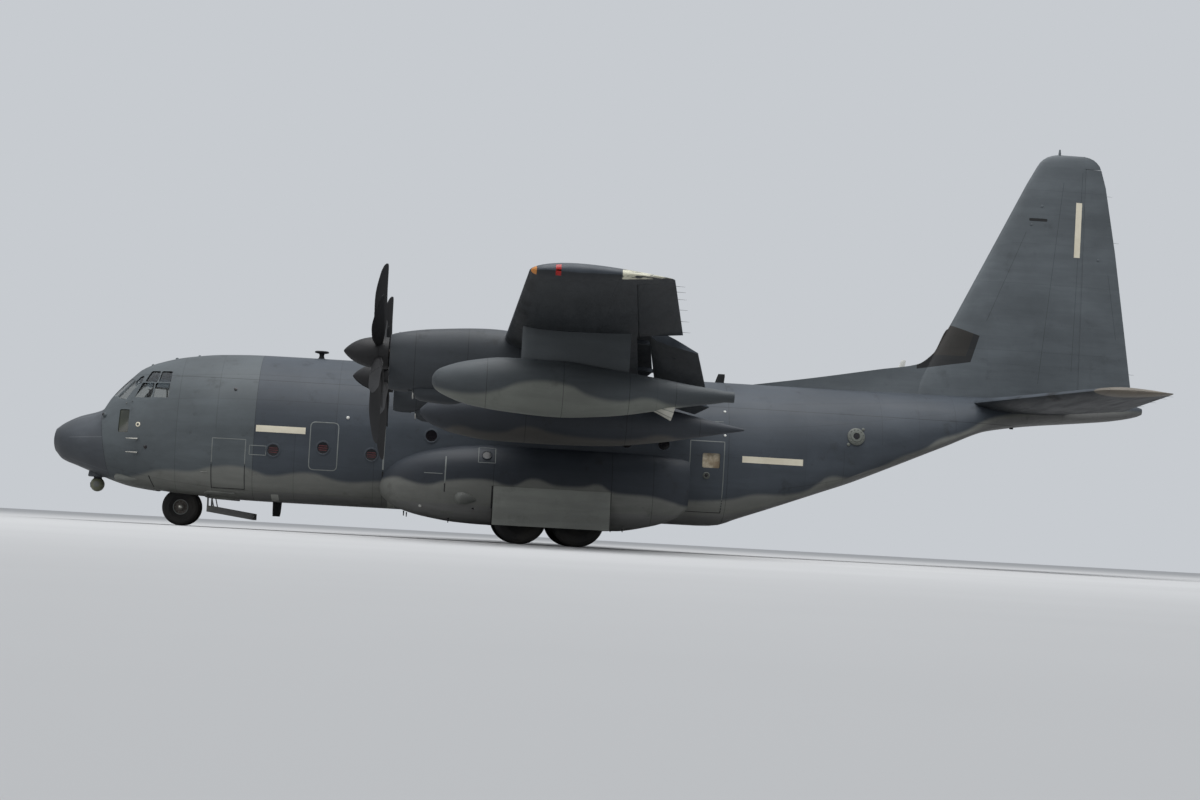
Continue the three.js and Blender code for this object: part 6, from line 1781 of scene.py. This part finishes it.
def makeSponsonMarks():
    on = {"surface": onSponson}
    lines = [sideWelt("line", [(10540, 2190), (10540, 1510)], 34, closed=False, **on),
             sideWelt("line", [(9990, 1730), (10470, 1725)], 20, closed=False, **on),
             sideWelt("line", box2d(11385, 11825, 2075, 2470), 18, **on)]
    finish(joined("sponsonLines", bothSides(lines)), "line", "fairing_paint")
    darks = [sideWelt("dark", [(10540, 1480), (10540, 1260)], 30, closed=False, **on),
             plate("gap", box2d(11765, 11800, 900, 1480), 2, 5, step=40, **on),
             onSide("pane", 11600, 2270, [(112, -20), (112, 4), (3, 4.4)], **on),
             onSide("dot", 11310, 860, [(26, -10), (26, 8), (3, 12)], count=16, **on)]
    finish(joined("sponsonDarks", bothSides(darks)), "darkGlass", "fairing_paint")
    frames = [onSide("frame", 11600, 2270, [(112, -20), (112, 10), (122, 16), (138, 12), (142, -10)], **on)]
    frames += [onSide("rivet", 16050, z, [(12, -4), (12, 4), (3, 7)], count=10, **on) for z in steps(1410, 2350, 11)]
    # the window frame and rivets take the fairings' paint, whose upper tone is a painted shadow of the wing
    finish(joined("sponsonRivets", bothSides(frames)), "sponson", "fairing_paint")
    start, out = onSponson(10820, 1130)
    end, endOut = onSponson(11400, 1080)
    start, end = start - out * 30, end - endOut * 12
    blister = turned("blister", start, end - start, [
        (3, 0), (70, 8), (130, 50), (165, 120), (170, 190), (150, 300), (100, 430), (45, 540),
        (4, (end - start).length)], 36)
    hatch = plate("hatch", box2d(10480, 10800, 700, 760), 3, 5, **on)
    finish(joined("sponsonBlister", bothSides([blister, hatch])), "pale", "fairing_paint")
    dots = [onSide("dot", 9930, 860, [(40, -10), (40, 10), (20, 20), (3, 22)], count=20, **on)]
    finish(joined("sponsonDots", bothSides(dots)), "white", "fairing_paint")


def tipLamp(side, xs, ys, swell, ahead=0):  # a lens as a slice of the wing tip, a little proud of it
    whole = loft("lamp", tipRings(side, foil(60), [(19600, 1, 1), *tipRows]))
    lens = cut(whole, block("tool", xs, [side * y for y in ys], (4500, 5600)), how="INTERSECT")
    heights = [v.co.z for v in lens.data.vertices]
    middle = (min(heights) + max(heights)) / 2
    for v in lens.data.vertices:
        v.co = Vector((v.co.x - ahead * mm, v.co.y, middle + (v.co.z - middle) * swell))
    return lens


def wick(x, y, z, out=0, fall=4):  # a static wick behind a trailing edge
    return bar("wick", (x, y, z), (x + 170, y + out, z - fall), 4, 6, 2)


def makeWingLights():
    lamps = {"amber": [], "redLens": [], "greenLens": []}
    for label, side in sides.items():
        lamps["amber"].append(tipLamp(side, (11700, 12010), (20010, 20130), 1.05, 5))
        lamps["redLens" if side < 0 else "greenLens"].append(tipLamp(side, (12350, 12450), (20130, 20206), 1.08))
        wicks = []
        for y in (13900, 15300, 16700, 17900, 18700, 19300):
            x, _, z = onWing(y, (1, 0.0))
            wicks.append(bar("wick", (x - 30, side * y, z), (x + 170, side * (y + 10), z - 6), 4, 6, 2))
        finish(joined(label + "AileronWicks", wicks), "black", "wing_paint", body=label + "_aileron")
        wicks = [wick(rowAt(tailRows, y)[2] - 20, side * y, tailZ) for y in (3200, 4800, 6200, 7000)]
        finish(joined(label + "ElevatorWicks", wicks), "black", "wing_paint", body="elevators")
    for key, made in lamps.items():
        finish(joined(key + "TipLights", made), key, "wing_paint")
    wicks = [wick(rowAt(finRows, z)[2] - 20, 0, z, fall=8) for z in (5220, 5630, 9300, 10600)]
    finish(joined("rudderWicks", wicks), "black", "upper_paint", body="rudder")
    beacons = [turned("beacon", (14300, 0, 4715), upward, [
                   (70, -30), (70, 12), (58, 16), (58, 60), (40, 92), (4, 100)], 28),
               turned("beacon", (13500, 0, 765), (0, 0, -1), [
                   (70, -30), (70, 10), (56, 14), (56, 50), (38, 76), (4, 84)], 28)]
    finish(joined("beacons", beacons), "redLens", "upper_paint")


makeMarks()
makeSponsonMarks()
makeWingLights()
makeNoseFittings()
makeAerials()
makeFinMarks()
print("marks made")


# Floor, light and camera

def seenOrLit(tree, lit, seen):  # one value for what the camera sees and one for the light that it gives
    camera = tree.nodes.new("ShaderNodeLightPath").outputs["Is Camera Ray"]
    return add(tree, "ShaderNodeMix", {0: camera, 2: lit, 3: seen}, data_type="FLOAT").outputs[0]


def makeStage():
    floor = started("floor", bpy.ops.mesh.primitive_plane_add, size=400)
    material, tree, shader, place = newMaterial("floorFinish")
    tone = times(tree, ramp(tree, noise(tree, place, 0.2), 0.3, 0.7, 0.97, 1.03), seenOrLit(tree, 0.36, 0.56))
    grey = add(tree, "ShaderNodeCombineColor", {0: tone, 1: tone, 2: tone}).outputs[0]
    tree.links.new(grey, shader.inputs["Base Color"])
    shader.inputs["Roughness"].default_value = 0.9
    floor.data.materials.append(material)
    world = bpy.data.worlds.new("paleSky")
    bpy.context.scene.world = world
    world.use_nodes = True
    tree = world.node_tree
    tree.nodes["Background"].inputs[0].default_value = rgb(199, 203, 208)
    up = parted(tree, tree.nodes.new("ShaderNodeTexCoord").outputs["Generated"])[2]
    strength = seenOrLit(tree, ramp(tree, up, 0.0, 0.9, 0.36, 1.2), 1.0)
    tree.links.new(strength, tree.nodes["Background"].inputs[1])
    for name, place, size, power in (("topSoftbox", (0, -5, 26), 30, 6000), ("noseSoftbox", (-26, -22, 12), 14, 1000)):
        light = bpy.data.lights.new(name, "AREA")
        light.size, light.energy = size, power
        lamp = bpy.data.objects.new(name, light)
        bpy.context.scene.collection.objects.link(lamp)
        lamp.location = place
        lamp.rotation_euler = (Vector((0, 0, 2)) - Vector(place)).to_track_quat("-Z", "Y").to_euler()


camera = {"distance": 30, "ahead": 4.1, "height": 0.12, "turn": 3.865, "tilt": 3.637, "roll": 3.134, "lens": 65.69}


def makeCamera():
    bpy.ops.object.camera_add()
    view = bpy.context.object
    ahead, turn, tilt = (math.radians(camera[key]) for key in ("ahead", "turn", "tilt"))
    view.location = (-camera["distance"] * math.sin(ahead), -camera["distance"] * math.cos(ahead), camera["height"])
    aim = Matrix.Rotation(-turn, 4, "Z") @ Matrix.Rotation(tilt + math.pi / 2, 4, "X")
    view.rotation_euler = (aim @ Matrix.Rotation(math.radians(camera["roll"]), 4, "Z")).to_euler()
    view.data.sensor_width = 36
    view.data.lens = camera["lens"]
    view.data.clip_end = 500
    bpy.context.scene.camera = view


makeStage()
makeCamera()
bpy.context.scene.view_settings.view_transform = "Standard"
